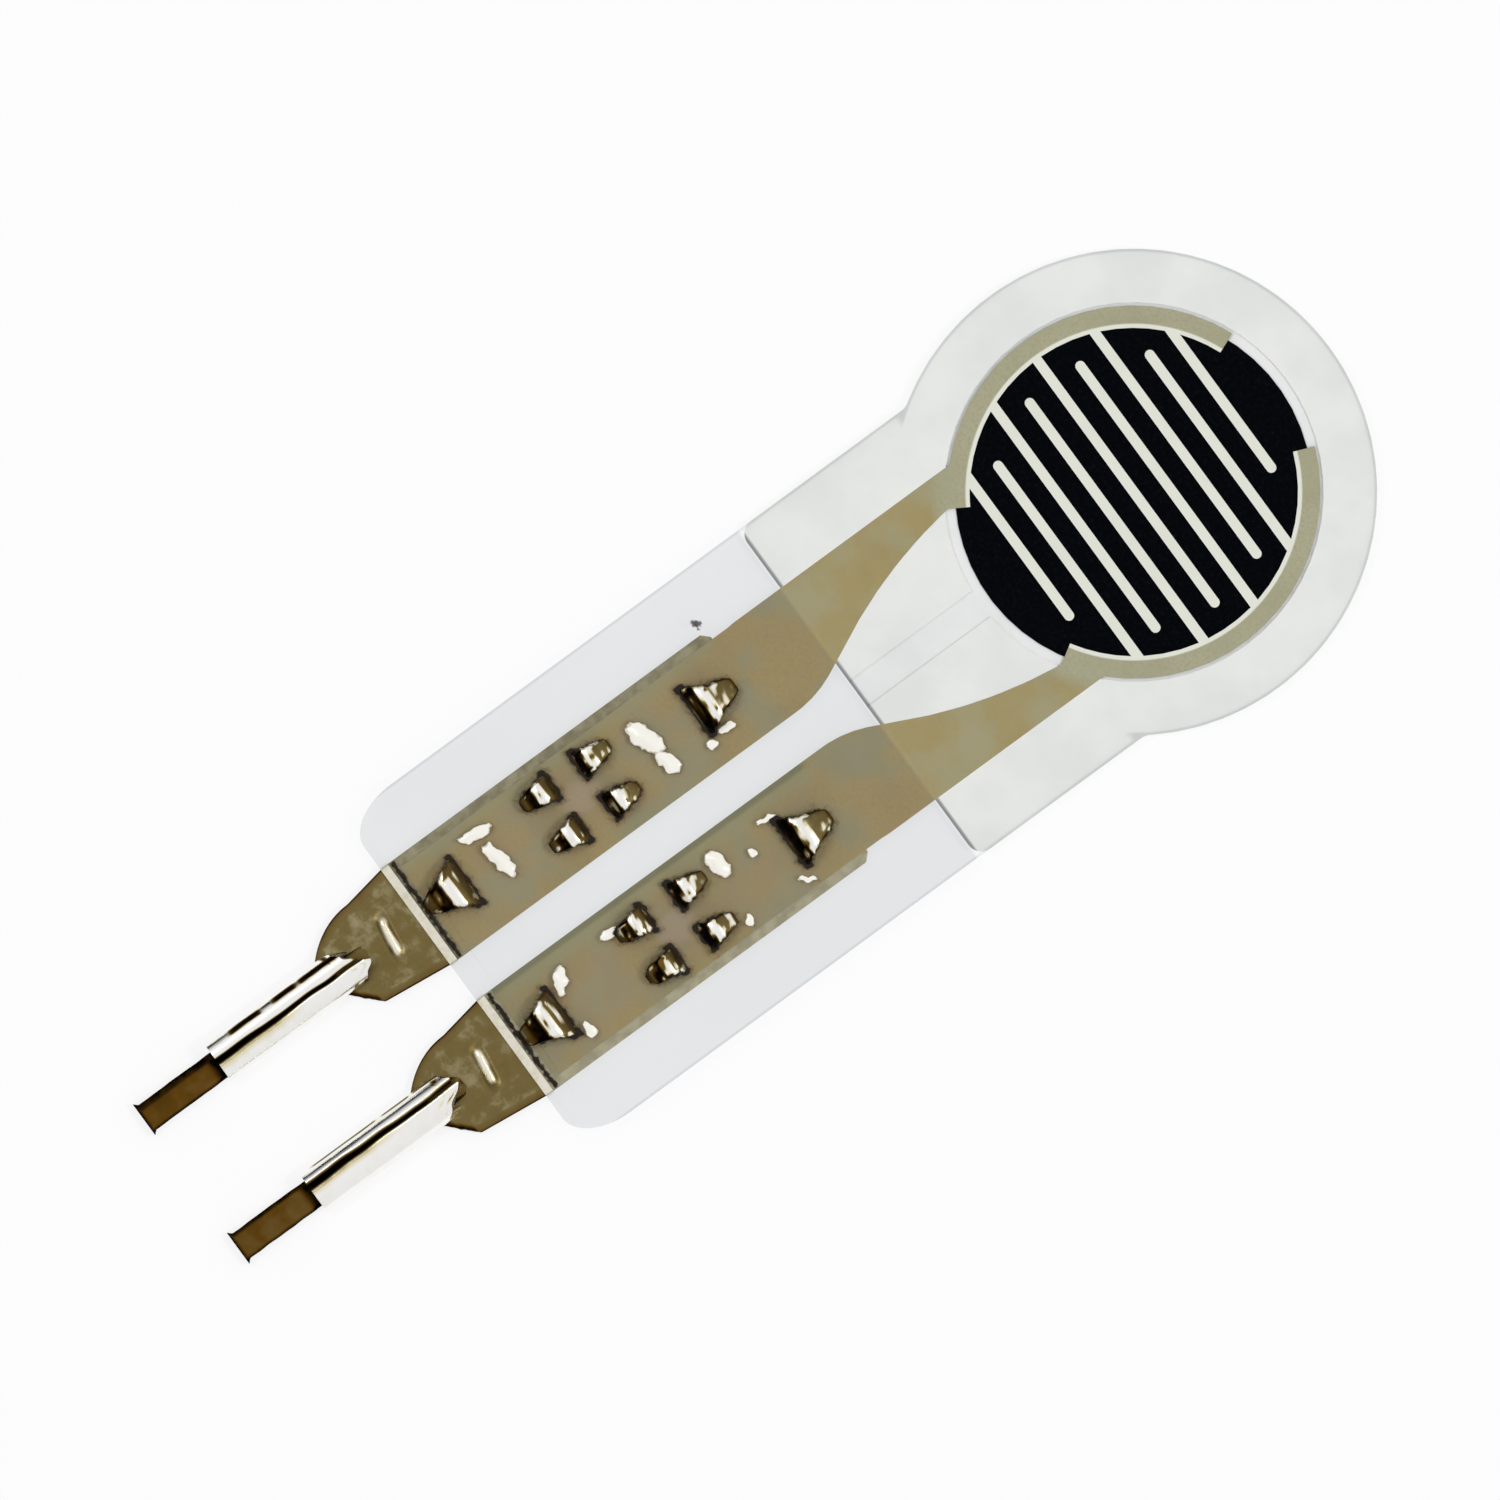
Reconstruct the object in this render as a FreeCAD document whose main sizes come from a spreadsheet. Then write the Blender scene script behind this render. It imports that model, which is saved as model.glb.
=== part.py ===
import FreeCAD, Part
import math
import operator
import os
import Sketcher

# Force sensing resistor with a round sensing area and two solder pins, in millimetres.
# It lies flat, sensing face up: the origin is under the centre of the sensing area,
# +Z goes up through the layers and +Y points away from the pins.

sizes = {
    # Layers, from the underside up
    "rear_adhesive_thickness": 0.05,
    "resistive_film_thickness": 0.10,
    "carbon_thickness": 0.02,
    "spacer_thickness": 0.05,
    "silver_thickness": 0.02,
    "electrode_film_thickness": 0.10,
    # Sensing area, from the middle outwards
    "carbon_radius": 2.80,
    "ring_inset": 0.23,
    "ring_width": 0.35,
    "ring_far_gap_angle": 22,
    "ring_tail_gap_angle": 31,
    "opening_clearance": 0.05,
    "rim_width": 0.84,
    "vent_width": 0.50,
    # Fingers of the two interleaved combs
    "finger_pitch": 0.49,
    "finger_width": 0.16,
    "finger_tip_gap": 0.35,
    "finger_end_gap": 0.20,
    # Neck and tail
    "neck_step": 0.635,
    "neck_fillet": 0.30,
    "lower_layers_length": 5.35,
    "lower_layers_corner": 0.25,
    "tail_corner": 0.55,
    "tail_bevel_length": 0.16,
    "tail_bevel_depth": 0.09,
    # Printed leads: straight outside, with an S bend inside that widens them to pads over the pins
    "lead_neck_angle": 13.6,
    "lead_bend_before_step": 0.71,
    "lead_upper_bend_radius": 7.6,
    "lead_slant_length": 0.91,
    "lead_slant_shift": 0.43,
    "lead_lower_bend_length": 0.85,
    "lead_lower_bend_shift": 0.16,
    "lead_lower_bend_radius": 1.9,
    "lead_pad_width": 1.70,
    "lead_pad_corner": 0.15,
    "lead_end_margin": 0.18,
    # Strip of the solder pins, from its end under the film to its sheared tip
    "pin_pitch": 2.54,
    "pin_clearance": 1.33,
    "pin_end_corner": 0.12,
    "pin_strip_width": 1.86,
    "strip_past_lances": 0.92,
    "film_past_lances": 0.90,
    "shoulder_past_film": 1.15,
    "shoulder_radius": 0.45,
    "barrel_past_shoulder": 0.02,
    "barrel_ramp": 0.25,
    "barrel_length": 2.77,
    "barrel_floor_width": 0.22,
    "barrel_inner_radius": 0.07,
    "seam_gap": 0.06,
    "tongue_length": 1.46,
    "tongue_width": 0.48,
    "burr_width": 0.06,
    "burr_length": 0.07,
    # Lances, which pierce the pad and the film and curl back on to the film
    "lance_thickness": 0.12,
    "lance_droop_angle": 24,
    "lance_clearance": 0.02,
    "middle_lance_gap": 0.32,
    "middle_lance_root": 0.24,
    "middle_lance_width": 0.48,
    "middle_lance_tip_width": 0.20,
    "middle_lance_curl": 0.13,
    "end_lance_root": 2.20,
    "end_lance_width": 0.90,
    "end_lance_tip_width": 0.08,
    "end_lance_curl": 0.18,
    # Raised bead across each pin
    "bead_past_film": 0.60,
    "bead_length": 0.64,
    "bead_width": 0.20,
    "bead_height": 0.06,
}

sheet_name = "Sizes"
operations = {"+": operator.add, "-": operator.sub, "*": operator.mul, "/": operator.truediv}


class Length:
    # A size held twice: as a number, to draw with, and as a formula on the sheet, to bind to.
    def __init__(self, number, formula):
        self.number = number
        self.formula = formula

    def __add__(self, other):
        return combined(self, "+", other)

    def __sub__(self, other):
        return combined(self, "-", other)

    def __rsub__(self, other):
        return combined(other, "-", self)

    def __mul__(self, other):
        return combined(self, "*", other)

    def __rmul__(self, other):
        return combined(other, "*", self)

    def __truediv__(self, other):
        return combined(self, "/", other)

    def __neg__(self):
        return Length(-self.number, f"(-{self.formula})")


def as_length(value):
    return value if isinstance(value, Length) else Length(value, f"({value})")


def combined(first, sign, second):
    first = as_length(first)
    second = as_length(second)
    number = operations[sign](first.number, second.number)
    return Length(number, f"({first.formula} {sign} {second.formula})")


def size(name):
    return Length(sizes[name], f"{sheet_name}.{name}")


def leg(long_side, short_side):
    # The other short side of a right-angled triangle
    number = math.sqrt(long_side.number ** 2 - short_side.number ** 2)
    return Length(number, f"sqrt({long_side.formula} ^ 2 - {short_side.formula} ^ 2)")


def hypotenuse(first_leg, second_leg):
    number = math.hypot(first_leg.number, second_leg.number)
    return Length(number, f"sqrt({first_leg.formula} ^ 2 + {second_leg.formula} ^ 2)")


def sine(angle):
    return Length(math.sin(math.radians(angle.number)), f"sin({angle.formula})")


def cosine(angle):
    return Length(math.cos(math.radians(angle.number)), f"cos({angle.formula})")


def make_sheet(document):
    sheet = document.addObject("Spreadsheet::Sheet", sheet_name)
    for row, (name, value) in enumerate(sizes.items(), start=1):
        sheet.set(f"A{row}", name.replace("_", " "))
        sheet.set(f"B{row}", str(value))
        sheet.setAlias(f"B{row}", name)
    document.recompute()


def make_body(document, name):
    body = document.addObject("PartDesign::Body", name)
    body.Label = name
    return body


def make_sketch(body, name, plane_role, offset):
    # The sketch lies on one of the body's own origin planes, moved along that plane's normal
    sketch = body.newObject("Sketcher::SketchObject", name)
    plane = next(item for item in body.Origin.OriginFeatures if item.Role == plane_role)
    sketch.AttachmentSupport = [(plane, "")]
    sketch.MapMode = "FlatFace"
    sketch.setExpression("AttachmentOffset.Base.z", as_length(offset).formula)
    return sketch


class Outline:
    # A closed loop of lines and arcs whose corners are held by their distances from the origin
    def __init__(self, sketch, x, y):
        self.sketch = sketch
        self.corners = [(as_length(x), as_length(y))]
        self.stretches = []

    def line_to(self, x, y):
        self.corners.append((as_length(x), as_length(y)))
        self.stretches.append(None)

    def arc_to(self, x, y, centre, clockwise=False):
        self.corners.append((as_length(x), as_length(y)))
        self.stretches.append((as_length(centre[0]), as_length(centre[1]), clockwise))

    def close(self):
        # The last stretch has been drawn back to the first corner, or a line closes the loop
        first = self.corners[0]
        last = self.corners[-1]
        if math.dist([value.number for value in first], [value.number for value in last]) < 1e-9:
            self.corners.pop()
        else:
            self.stretches.append(None)
        ends = [self.draw_stretch(index) for index in range(len(self.corners))]
        for index, (element, start, _) in enumerate(ends):
            previous_element, _, previous_end = ends[index - 1]
            self.sketch.addConstraint(
                Sketcher.Constraint("Coincident", previous_element, previous_end, element, start))
            x, y = self.corners[index]
            self.bind("DistanceX", x, element, start)
            self.bind("DistanceY", y, element, start)

    def draw_stretch(self, index):
        # Gives the element's number and which of its two ends come first and last along the loop
        start = [value.number for value in self.corners[index]]
        end = [value.number for value in self.corners[(index + 1) % len(self.corners)]]
        if self.stretches[index] is None:
            line = Part.LineSegment(FreeCAD.Vector(*start, 0), FreeCAD.Vector(*end, 0))
            return self.sketch.addGeometry(line, False), 1, 2
        centre_x, centre_y, clockwise = self.stretches[index]
        if clockwise:
            start, end = end, start
        middle = (centre_x.number, centre_y.number)
        circle = Part.Circle(FreeCAD.Vector(*middle, 0), FreeCAD.Vector(0, 0, 1), math.dist(middle, start))
        first_angle = math.atan2(start[1] - middle[1], start[0] - middle[0])
        turn = (math.atan2(end[1] - middle[1], end[0] - middle[0]) - first_angle) % math.tau
        arc = Part.ArcOfCircle(circle, first_angle, first_angle + turn)
        element = self.sketch.addGeometry(arc, False)
        # With both ends held, the centre can only slide square to the chord, so one distance holds it
        if abs(end[1] - start[1]) > abs(end[0] - start[0]):
            self.bind("DistanceX", centre_x, element, 3)
        else:
            self.bind("DistanceY", centre_y, element, 3)
        return (element, 2, 1) if clockwise else (element, 1, 2)

    def bind(self, kind, value, *element):
        number = self.sketch.addConstraint(Sketcher.Constraint(kind, *element, value.number))
        self.sketch.setExpression(f"Constraints[{number}]", value.formula)


def draw_polygon(sketch, points):
    outline = Outline(sketch, *points[0])
    for point in points[1:]:
        outline.line_to(*point)
    outline.close()


def draw_rectangle(sketch, left, right, low, high):
    draw_polygon(sketch, [(left, low), (right, low), (right, high), (left, high)])


def draw_circle(sketch, radius):
    circle = Part.Circle(FreeCAD.Vector(0, 0, 0), FreeCAD.Vector(0, 0, 1), radius.number)
    element = sketch.addGeometry(circle, False)
    sketch.addConstraint(Sketcher.Constraint("Coincident", element, 3, -1, 1))
    number = sketch.addConstraint(Sketcher.Constraint("Radius", element, radius.number))
    sketch.setExpression(f"Constraints[{number}]", radius.formula)


def pad(body, sketch, name, depth):
    feature = body.newObject("PartDesign::Pad", name)
    feature.Profile = sketch
    feature.setExpression("Length", depth.formula)
    return feature


def pocket(body, sketch, name, depth, along_normal=False):
    # A pocket cuts against its sketch's normal unless it is turned round
    feature = body.newObject("PartDesign::Pocket", name)
    feature.Profile = sketch
    feature.Reversed = along_normal
    feature.setExpression("Length", depth.formula)
    return feature


# Heights of the layers
resistive_film_bottom = size("rear_adhesive_thickness")
resistive_film_top = resistive_film_bottom + size("resistive_film_thickness")
electrode_film_bottom = resistive_film_top + size("spacer_thickness")
electrode_film_top = electrode_film_bottom + size("electrode_film_thickness")
silver_bottom = electrode_film_bottom - size("silver_thickness")

# The pins' strip fills the height from the surface that the part lies on up to the printed leads
strip_thickness = silver_bottom

# Radii about the middle of the sensing area
ring_inner_radius = size("carbon_radius") - size("ring_inset")
ring_outer_radius = ring_inner_radius + size("ring_width")
ring_middle_radius = (ring_inner_radius + ring_outer_radius) / 2
opening_radius = ring_outer_radius + size("opening_clearance")
head_radius = opening_radius + size("rim_width")
finger_tip_radius = ring_inner_radius - size("finger_tip_gap")
tail_half_width = head_radius - size("neck_step")

# Places along the tail and the pins
step_y = -size("lower_layers_length")
pin_head_y = step_y - size("pin_clearance")
crimp_centre_y = pin_head_y - size("strip_past_lances") - size("end_lance_root")
tail_end_y = crimp_centre_y - size("end_lance_root") - size("film_past_lances")
bead_y = tail_end_y - size("bead_past_film")
shoulder_y = tail_end_y - size("shoulder_past_film")
barrel_start_y = shoulder_y - size("barrel_past_shoulder")
barrel_full_y = barrel_start_y - size("barrel_ramp")
barrel_end_y = barrel_start_y - size("barrel_length")
tongue_end_y = barrel_end_y - size("tongue_length")

# Section of the barrel
barrel_height = (size("barrel_inner_radius") + strip_thickness) * 2
barrel_width = size("barrel_floor_width") + barrel_height


def draw_layer_outline(sketch, end_y, corner):
    # The round head and the straight tail below it, with filleted necks and rounded tail corners
    half = tail_half_width
    fillet = size("neck_fillet")
    centre_x = half + fillet
    centre_y = -leg(head_radius + fillet, centre_x)
    share = head_radius / (head_radius + fillet)
    outline = Outline(sketch, centre_x * share, centre_y * share)
    outline.arc_to(-centre_x * share, centre_y * share, (0, 0))
    outline.arc_to(-half, centre_y, (-centre_x, centre_y), clockwise=True)
    outline.line_to(-half, end_y + corner)
    outline.arc_to(corner - half, end_y, (corner - half, end_y + corner))
    outline.line_to(half - corner, end_y)
    outline.arc_to(half, end_y + corner, (half - corner, end_y + corner))
    outline.line_to(half, centre_y)
    outline.arc_to(centre_x * share, centre_y * share, (centre_x, centre_y), clockwise=True)
    outline.close()


def make_lower_layer(document, name, bottom, thickness):
    # A layer of the stack that ends part of the way down the tail
    body = make_body(document, name)
    sketch = make_sketch(body, f"{name}_outline", "XY_Plane", bottom)
    draw_layer_outline(sketch, step_y, size("lower_layers_corner"))
    pad(body, sketch, f"{name}_sheet", thickness)
    return body


def make_resistive_carbon(document):
    body = make_body(document, "resistive_carbon")
    sketch = make_sketch(body, "carbon_outline", "XY_Plane", resistive_film_top)
    draw_circle(sketch, size("carbon_radius"))
    pad(body, sketch, "carbon_print", size("carbon_thickness"))
    return body


def make_spacer(document):
    # The adhesive frame that holds the films apart, open over the sensing area and vented down
    # the middle of the tail, with the printed leads let into its upper face
    body = make_lower_layer(document, "spacer_adhesive", resistive_film_top, size("spacer_thickness"))
    opening = make_sketch(body, "opening_outline", "XY_Plane", electrode_film_bottom)
    draw_circle(opening, opening_radius)
    pocket(body, opening, "opening", size("spacer_thickness"))
    vent = make_sketch(body, "vent_outline", "XY_Plane", electrode_film_bottom)
    draw_rectangle(vent, -size("vent_width") / 2, size("vent_width") / 2,
                   step_y - size("vent_width"), -opening_radius / 2)
    pocket(body, vent, "vent", size("spacer_thickness"))
    for side, name in ((-1, "left"), (1, "right")):
        seat = make_sketch(body, f"{name}_lead_seat_outline", "XY_Plane", electrode_film_bottom)
        draw_lead(seat, side)
        pocket(body, seat, f"{name}_lead_seat", size("silver_thickness"))
    return body


def draw_ring_sector(sketch, side):
    # Half of the silver ring round the sensing area, between its two gaps
    inner = ring_inner_radius
    outer = ring_outer_radius
    far_sine = sine(size("ring_far_gap_angle"))
    far_cosine = cosine(size("ring_far_gap_angle"))
    tail_sine = sine(size("ring_tail_gap_angle"))
    tail_cosine = cosine(size("ring_tail_gap_angle"))
    outline = Outline(sketch, side * outer * far_sine, outer * far_cosine)
    outline.arc_to(side * outer * tail_sine, -outer * tail_cosine, (0, 0), clockwise=side > 0)
    outline.line_to(side * inner * tail_sine, -inner * tail_cosine)
    outline.arc_to(side * inner * far_sine, inner * far_cosine, (0, 0), clockwise=side < 0)
    outline.close()


def arc_centre(start, end, radius, side):
    # The centre of an arc of a given radius from start to end: side 1 lies left of the chord
    run_x = end[0] - start[0]
    run_y = end[1] - start[1]
    chord = hypotenuse(run_x, run_y)
    share = side * leg(radius, chord / 2) / chord
    return (start[0] + end[0]) / 2 - run_y * share, (start[1] + end[1]) / 2 + run_x * share


def draw_lead(sketch, side):
    # From the tail end of the ring, round an S bend and down to the end of the wide pad
    neck_angle = size("ring_tail_gap_angle") + size("lead_neck_angle")
    outer_x = ring_outer_radius * sine(neck_angle)
    inner_x = ring_outer_radius * sine(size("ring_tail_gap_angle"))
    pad_inner_x = (size("pin_pitch") - size("pin_strip_width")) / 2
    pad_outer_x = pad_inner_x + size("lead_pad_width")
    slant_start_y = step_y + size("lead_bend_before_step")
    slant_end_y = slant_start_y - size("lead_slant_length")
    pad_y = slant_end_y - size("lead_lower_bend_length")
    end_y = tail_end_y + size("lead_end_margin")
    neck = (inner_x, -ring_outer_radius * cosine(size("ring_tail_gap_angle")))
    slant_end = (pad_inner_x + size("lead_lower_bend_shift"), slant_end_y)
    slant_start = (slant_end[0] + size("lead_slant_shift"), slant_start_y)
    pad_start = (pad_inner_x, pad_y)
    upper_centre = arc_centre(neck, slant_start, size("lead_upper_bend_radius"), -1)
    lower_centre = arc_centre(slant_end, pad_start, size("lead_lower_bend_radius"), 1)
    outline = Outline(sketch, side * outer_x, -ring_middle_radius * cosine(neck_angle))
    outline.line_to(side * inner_x, -leg(ring_middle_radius, inner_x))
    outline.line_to(side * inner_x, neck[1])
    outline.arc_to(side * slant_start[0], slant_start_y,
                   (side * upper_centre[0], upper_centre[1]), clockwise=side > 0)
    outline.line_to(side * slant_end[0], slant_end_y)
    outline.arc_to(side * pad_inner_x, pad_y,
                   (side * lower_centre[0], lower_centre[1]), clockwise=side < 0)
    outline.line_to(side * pad_inner_x, end_y)
    outline.line_to(side * pad_outer_x, end_y)
    outline.line_to(side * pad_outer_x, pad_y)
    outline.line_to(side * outer_x, pad_y + size("lead_pad_corner"))
    outline.close()


def draw_finger(sketch, side, offset):
    # A bar from inside the ring's width, across the sensing area, to a rounded tip
    half = size("finger_width") / 2
    root_x = side * leg(ring_middle_radius, offset)
    tip_x = -side * (leg(finger_tip_radius, offset) - half)
    outline = Outline(sketch, root_x, offset - half)
    outline.line_to(tip_x, offset - half)
    outline.arc_to(tip_x, offset + half, (tip_x, offset), clockwise=side > 0)
    outline.line_to(root_x, offset + half)
    outline.close()


def finger_offsets(first):
    # Every second finger of the row that fits between the tail ends of the ring
    reach = ring_inner_radius * cosine(size("ring_tail_gap_angle")) - size("finger_end_gap")
    last = math.floor(reach.number / sizes["finger_pitch"])
    return [size("finger_pitch") * number for number in range(first - last, last + 1, 2)]


def lance_positions():
    # For each lance of a pin: its kind, its place across the pin, its root and which way it curls
    spread = (size("middle_lance_gap") + size("middle_lance_width")) / 2
    positions = [("end", as_length(0), direction) for direction in (-1, 1)]
    positions += [("middle", across, direction) for across in (-spread, spread) for direction in (-1, 1)]
    return [(kind, across, crimp_centre_y + direction * size(f"{kind}_lance_root"), direction)
            for kind, across, direction in positions]


def lance_reach(kind):
    # How far from its root, along the pin, the underside of the curled lance comes down to the film
    droop = size("lance_droop_angle")
    inner = size(f"{kind}_lance_curl")
    slope_length = inner * cosine(droop) / sine(droop)
    return inner + size("lance_thickness") + inner * sine(droop) + slope_length * cosine(droop)


def pierce_slits(body, top, depth, name, pin_places):
    # The slits that the lances have cut, one round each lance's root
    sketch = make_sketch(body, f"{name}_outline", "XY_Plane", top)
    clearance = size("lance_clearance")
    for pin_x in pin_places:
        for kind, across, root, direction in lance_positions():
            half = size(f"{kind}_lance_width") / 2 + clearance
            near = root - direction * clearance
            far = root + direction * (size("lance_thickness") + clearance)
            draw_rectangle(sketch, pin_x + across - half, pin_x + across + half, near, far)
    pocket(body, sketch, name, depth)


def make_electrode(document, name, side, first_finger):
    # One comb of silver: its half of the ring, every second finger and the lead with its pad
    body = make_body(document, name)
    thickness = size("silver_thickness")
    ring = make_sketch(body, f"{name}_ring_outline", "XY_Plane", silver_bottom)
    draw_ring_sector(ring, side)
    pad(body, ring, f"{name}_ring", thickness)
    lead = make_sketch(body, f"{name}_lead_outline", "XY_Plane", silver_bottom)
    draw_lead(lead, side)
    pad(body, lead, f"{name}_lead", thickness)
    fingers = make_sketch(body, f"{name}_finger_outlines", "XY_Plane", silver_bottom)
    for offset in finger_offsets(first_finger):
        draw_finger(fingers, side, offset)
    pad(body, fingers, f"{name}_fingers", thickness)
    pierce_slits(body, electrode_film_bottom, thickness, f"{name}_slits", [side * size("pin_pitch") / 2])
    return body


def make_electrode_film(document):
    # The clear upper film, the only layer that reaches the pins
    body = make_body(document, "electrode_film")
    sketch = make_sketch(body, "electrode_film_outline", "XY_Plane", electrode_film_bottom)
    draw_layer_outline(sketch, tail_end_y, size("tail_corner"))
    pad(body, sketch, "electrode_film_sheet", size("electrode_film_thickness"))
    half_pitch = size("pin_pitch") / 2
    pierce_slits(body, electrode_film_top, size("electrode_film_thickness"), "film_slits",
                 [-half_pitch, half_pitch])
    # The sheared end slopes from the upper face to the lower one
    bevel = make_sketch(body, "tail_bevel_outline", "YZ_Plane", tail_half_width)
    draw_polygon(bevel, [
        (tail_end_y, electrode_film_top - size("tail_bevel_depth")),
        (tail_end_y + size("tail_bevel_length"), electrode_film_top),
        (tail_end_y, electrode_film_top),
    ])
    pocket(body, bevel, "tail_bevel", tail_half_width * 2)
    return body


def draw_pin_strip(sketch):
    # The flat strip: clipped corners under the film, long sides and rounded shoulders
    half = size("pin_strip_width") / 2
    corner = size("pin_end_corner")
    waist = barrel_width / 2
    radius = size("shoulder_radius")
    shoulder_half = waist + radius
    floor_half = size("barrel_floor_width") / 2
    outline = Outline(sketch, half - corner, pin_head_y)
    outline.line_to(corner - half, pin_head_y)
    outline.line_to(-half, pin_head_y - corner)
    outline.line_to(-half, tail_end_y)
    outline.line_to(-shoulder_half, shoulder_y)
    outline.arc_to(-waist, shoulder_y - radius, (-waist, shoulder_y))
    outline.line_to(-floor_half, barrel_full_y)
    outline.line_to(floor_half, barrel_full_y)
    outline.line_to(waist, shoulder_y - radius)
    outline.arc_to(shoulder_half, shoulder_y, (waist, shoulder_y))
    outline.line_to(half, tail_end_y)
    outline.line_to(half, pin_head_y - corner)
    outline.close()


def draw_barrel(sketch):
    # The strip's sides are folded up and in over its floor until their edges almost meet
    fold_x = size("barrel_floor_width") / 2
    fold_z = barrel_height / 2
    roof = barrel_height - strip_thickness
    lip = size("seam_gap") / 2
    outline = Outline(sketch, lip, barrel_height)
    outline.line_to(fold_x, barrel_height)
    outline.arc_to(fold_x, 0, (fold_x, fold_z), clockwise=True)
    outline.line_to(-fold_x, 0)
    outline.arc_to(-fold_x, barrel_height, (-fold_x, fold_z), clockwise=True)
    outline.line_to(-lip, barrel_height)
    outline.line_to(-lip, roof)
    outline.line_to(-fold_x, roof)
    outline.arc_to(-fold_x, strip_thickness, (-fold_x, fold_z))
    outline.line_to(fold_x, strip_thickness)
    outline.arc_to(fold_x, roof, (fold_x, fold_z))
    outline.line_to(lip, roof)
    outline.close()


def draw_tongue(sketch):
    # The flat end past the barrel, with the small burr that its shearing left
    half = size("tongue_width") / 2
    burr_half = half + size("burr_width")
    burr_y = tongue_end_y + size("burr_length")
    draw_polygon(sketch, [
        (half, barrel_end_y),
        (-half, barrel_end_y),
        (-half, burr_y),
        (-burr_half, tongue_end_y),
        (burr_half, tongue_end_y),
        (half, burr_y),
    ])


def draw_lance_side(sketch, kind, root, direction):
    # Seen from the side: up from the strip, over in an arc and down to the film
    thickness = size("lance_thickness")
    inner = size(f"{kind}_lance_curl")
    curl = inner + thickness
    droop = size("lance_droop_angle")
    slope_length = inner * cosine(droop) / sine(droop)
    inner_end = (curl + inner * sine(droop), electrode_film_top + inner * cosine(droop))
    outer_end = (curl + curl * sine(droop), electrode_film_top + curl * cosine(droop))
    drop = (slope_length * cosine(droop), -slope_length * sine(droop))

    def place(along):
        return root + direction * along

    forward = direction > 0
    overlap = thickness / 2
    centre = (place(curl), electrode_film_top)
    outline = Outline(sketch, place(-overlap), 0)
    outline.line_to(root, 0)
    outline.arc_to(place(thickness), thickness, (root, thickness), clockwise=not forward)
    outline.line_to(place(thickness), electrode_film_top)
    outline.arc_to(place(inner_end[0]), inner_end[1], centre, clockwise=forward)
    outline.line_to(place(inner_end[0] + drop[0]), inner_end[1] + drop[1])
    outline.line_to(place(outer_end[0] + drop[0]), outer_end[1] + drop[1])
    outline.line_to(place(outer_end[0]), outer_end[1])
    outline.arc_to(root, electrode_film_top, centre, clockwise=not forward)
    outline.line_to(root, strip_thickness)
    outline.line_to(place(-overlap), strip_thickness)
    outline.close()


def add_lance(body, name, kind, across, root, direction):
    half = size(f"{kind}_lance_width") / 2
    side_view = make_sketch(body, f"{name}_side", "YZ_Plane", across - half)
    draw_lance_side(side_view, kind, root, direction)
    pad(body, side_view, name, half * 2)
    # The blank narrows to its tip, so a wedge comes off each side of the curled part
    tip_half = size(f"{kind}_lance_tip_width") / 2
    start = root + direction * size("lance_thickness")
    end = root + direction * (lance_reach(kind) + size("lance_thickness"))
    taper = make_sketch(body, f"{name}_taper_outline", "XY_Plane", strip_thickness)
    for side in (-1, 1):
        draw_polygon(taper, [
            (across + side * half, start),
            (across + side * tip_half, end),
            (across + side * half, end),
        ])
    crest = electrode_film_top + size(f"{kind}_lance_curl") + size("lance_thickness")
    pocket(body, taper, f"{name}_taper", crest - strip_thickness, along_normal=True)


def draw_bead(sketch, base):
    # A low arc that stands on its chord
    half = size("bead_width") / 2
    height = size("bead_height")
    radius = (half * half + height * height) / (height * 2)
    outline = Outline(sketch, bead_y - half, base)
    outline.line_to(bead_y + half, base)
    outline.arc_to(bead_y - half, base, (bead_y, base + height - radius))
    outline.close()


def make_pin(document, name, side):
    # One stamped and folded strip; the body is modelled about its own middle and placed at its pitch
    body = make_body(document, name)
    strip = make_sketch(body, f"{name}_strip_outline", "XY_Plane", 0)
    draw_pin_strip(strip)
    pad(body, strip, f"{name}_strip", strip_thickness)
    windows = make_sketch(body, f"{name}_window_outlines", "XY_Plane", strip_thickness)
    clearance = size("lance_clearance")
    for kind, across, root, direction in lance_positions():
        half = size(f"{kind}_lance_width") / 2 + clearance
        tip_half = size(f"{kind}_lance_tip_width") / 2 + clearance
        far = root + direction * lance_reach(kind)
        draw_polygon(windows, [(across - half, root), (across + half, root),
                               (across + tip_half, far), (across - tip_half, far)])
    pocket(body, windows, f"{name}_windows", strip_thickness)
    for number, (kind, across, root, direction) in enumerate(lance_positions(), start=1):
        add_lance(body, f"{name}_lance_{number}", kind, across, root, direction)
    add_bead(body, name)
    add_barrel(body, name)
    tongue = make_sketch(body, f"{name}_tongue_outline", "XY_Plane", 0)
    draw_tongue(tongue)
    pad(body, tongue, f"{name}_tongue", strip_thickness)
    body.setExpression("Placement.Base.x", (side * size("pin_pitch") / 2).formula)
    return body


def add_bead(body, name):
    # Pressed up from below, so the underside has the same form as a hollow
    half = size("bead_length") / 2
    crest = make_sketch(body, f"{name}_bead_side", "YZ_Plane", -half)
    draw_bead(crest, strip_thickness)
    pad(body, crest, f"{name}_bead", half * 2)
    hollow = make_sketch(body, f"{name}_bead_hollow_side", "YZ_Plane", half)
    draw_bead(hollow, as_length(0))
    pocket(body, hollow, f"{name}_bead_hollow", half * 2)


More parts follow.
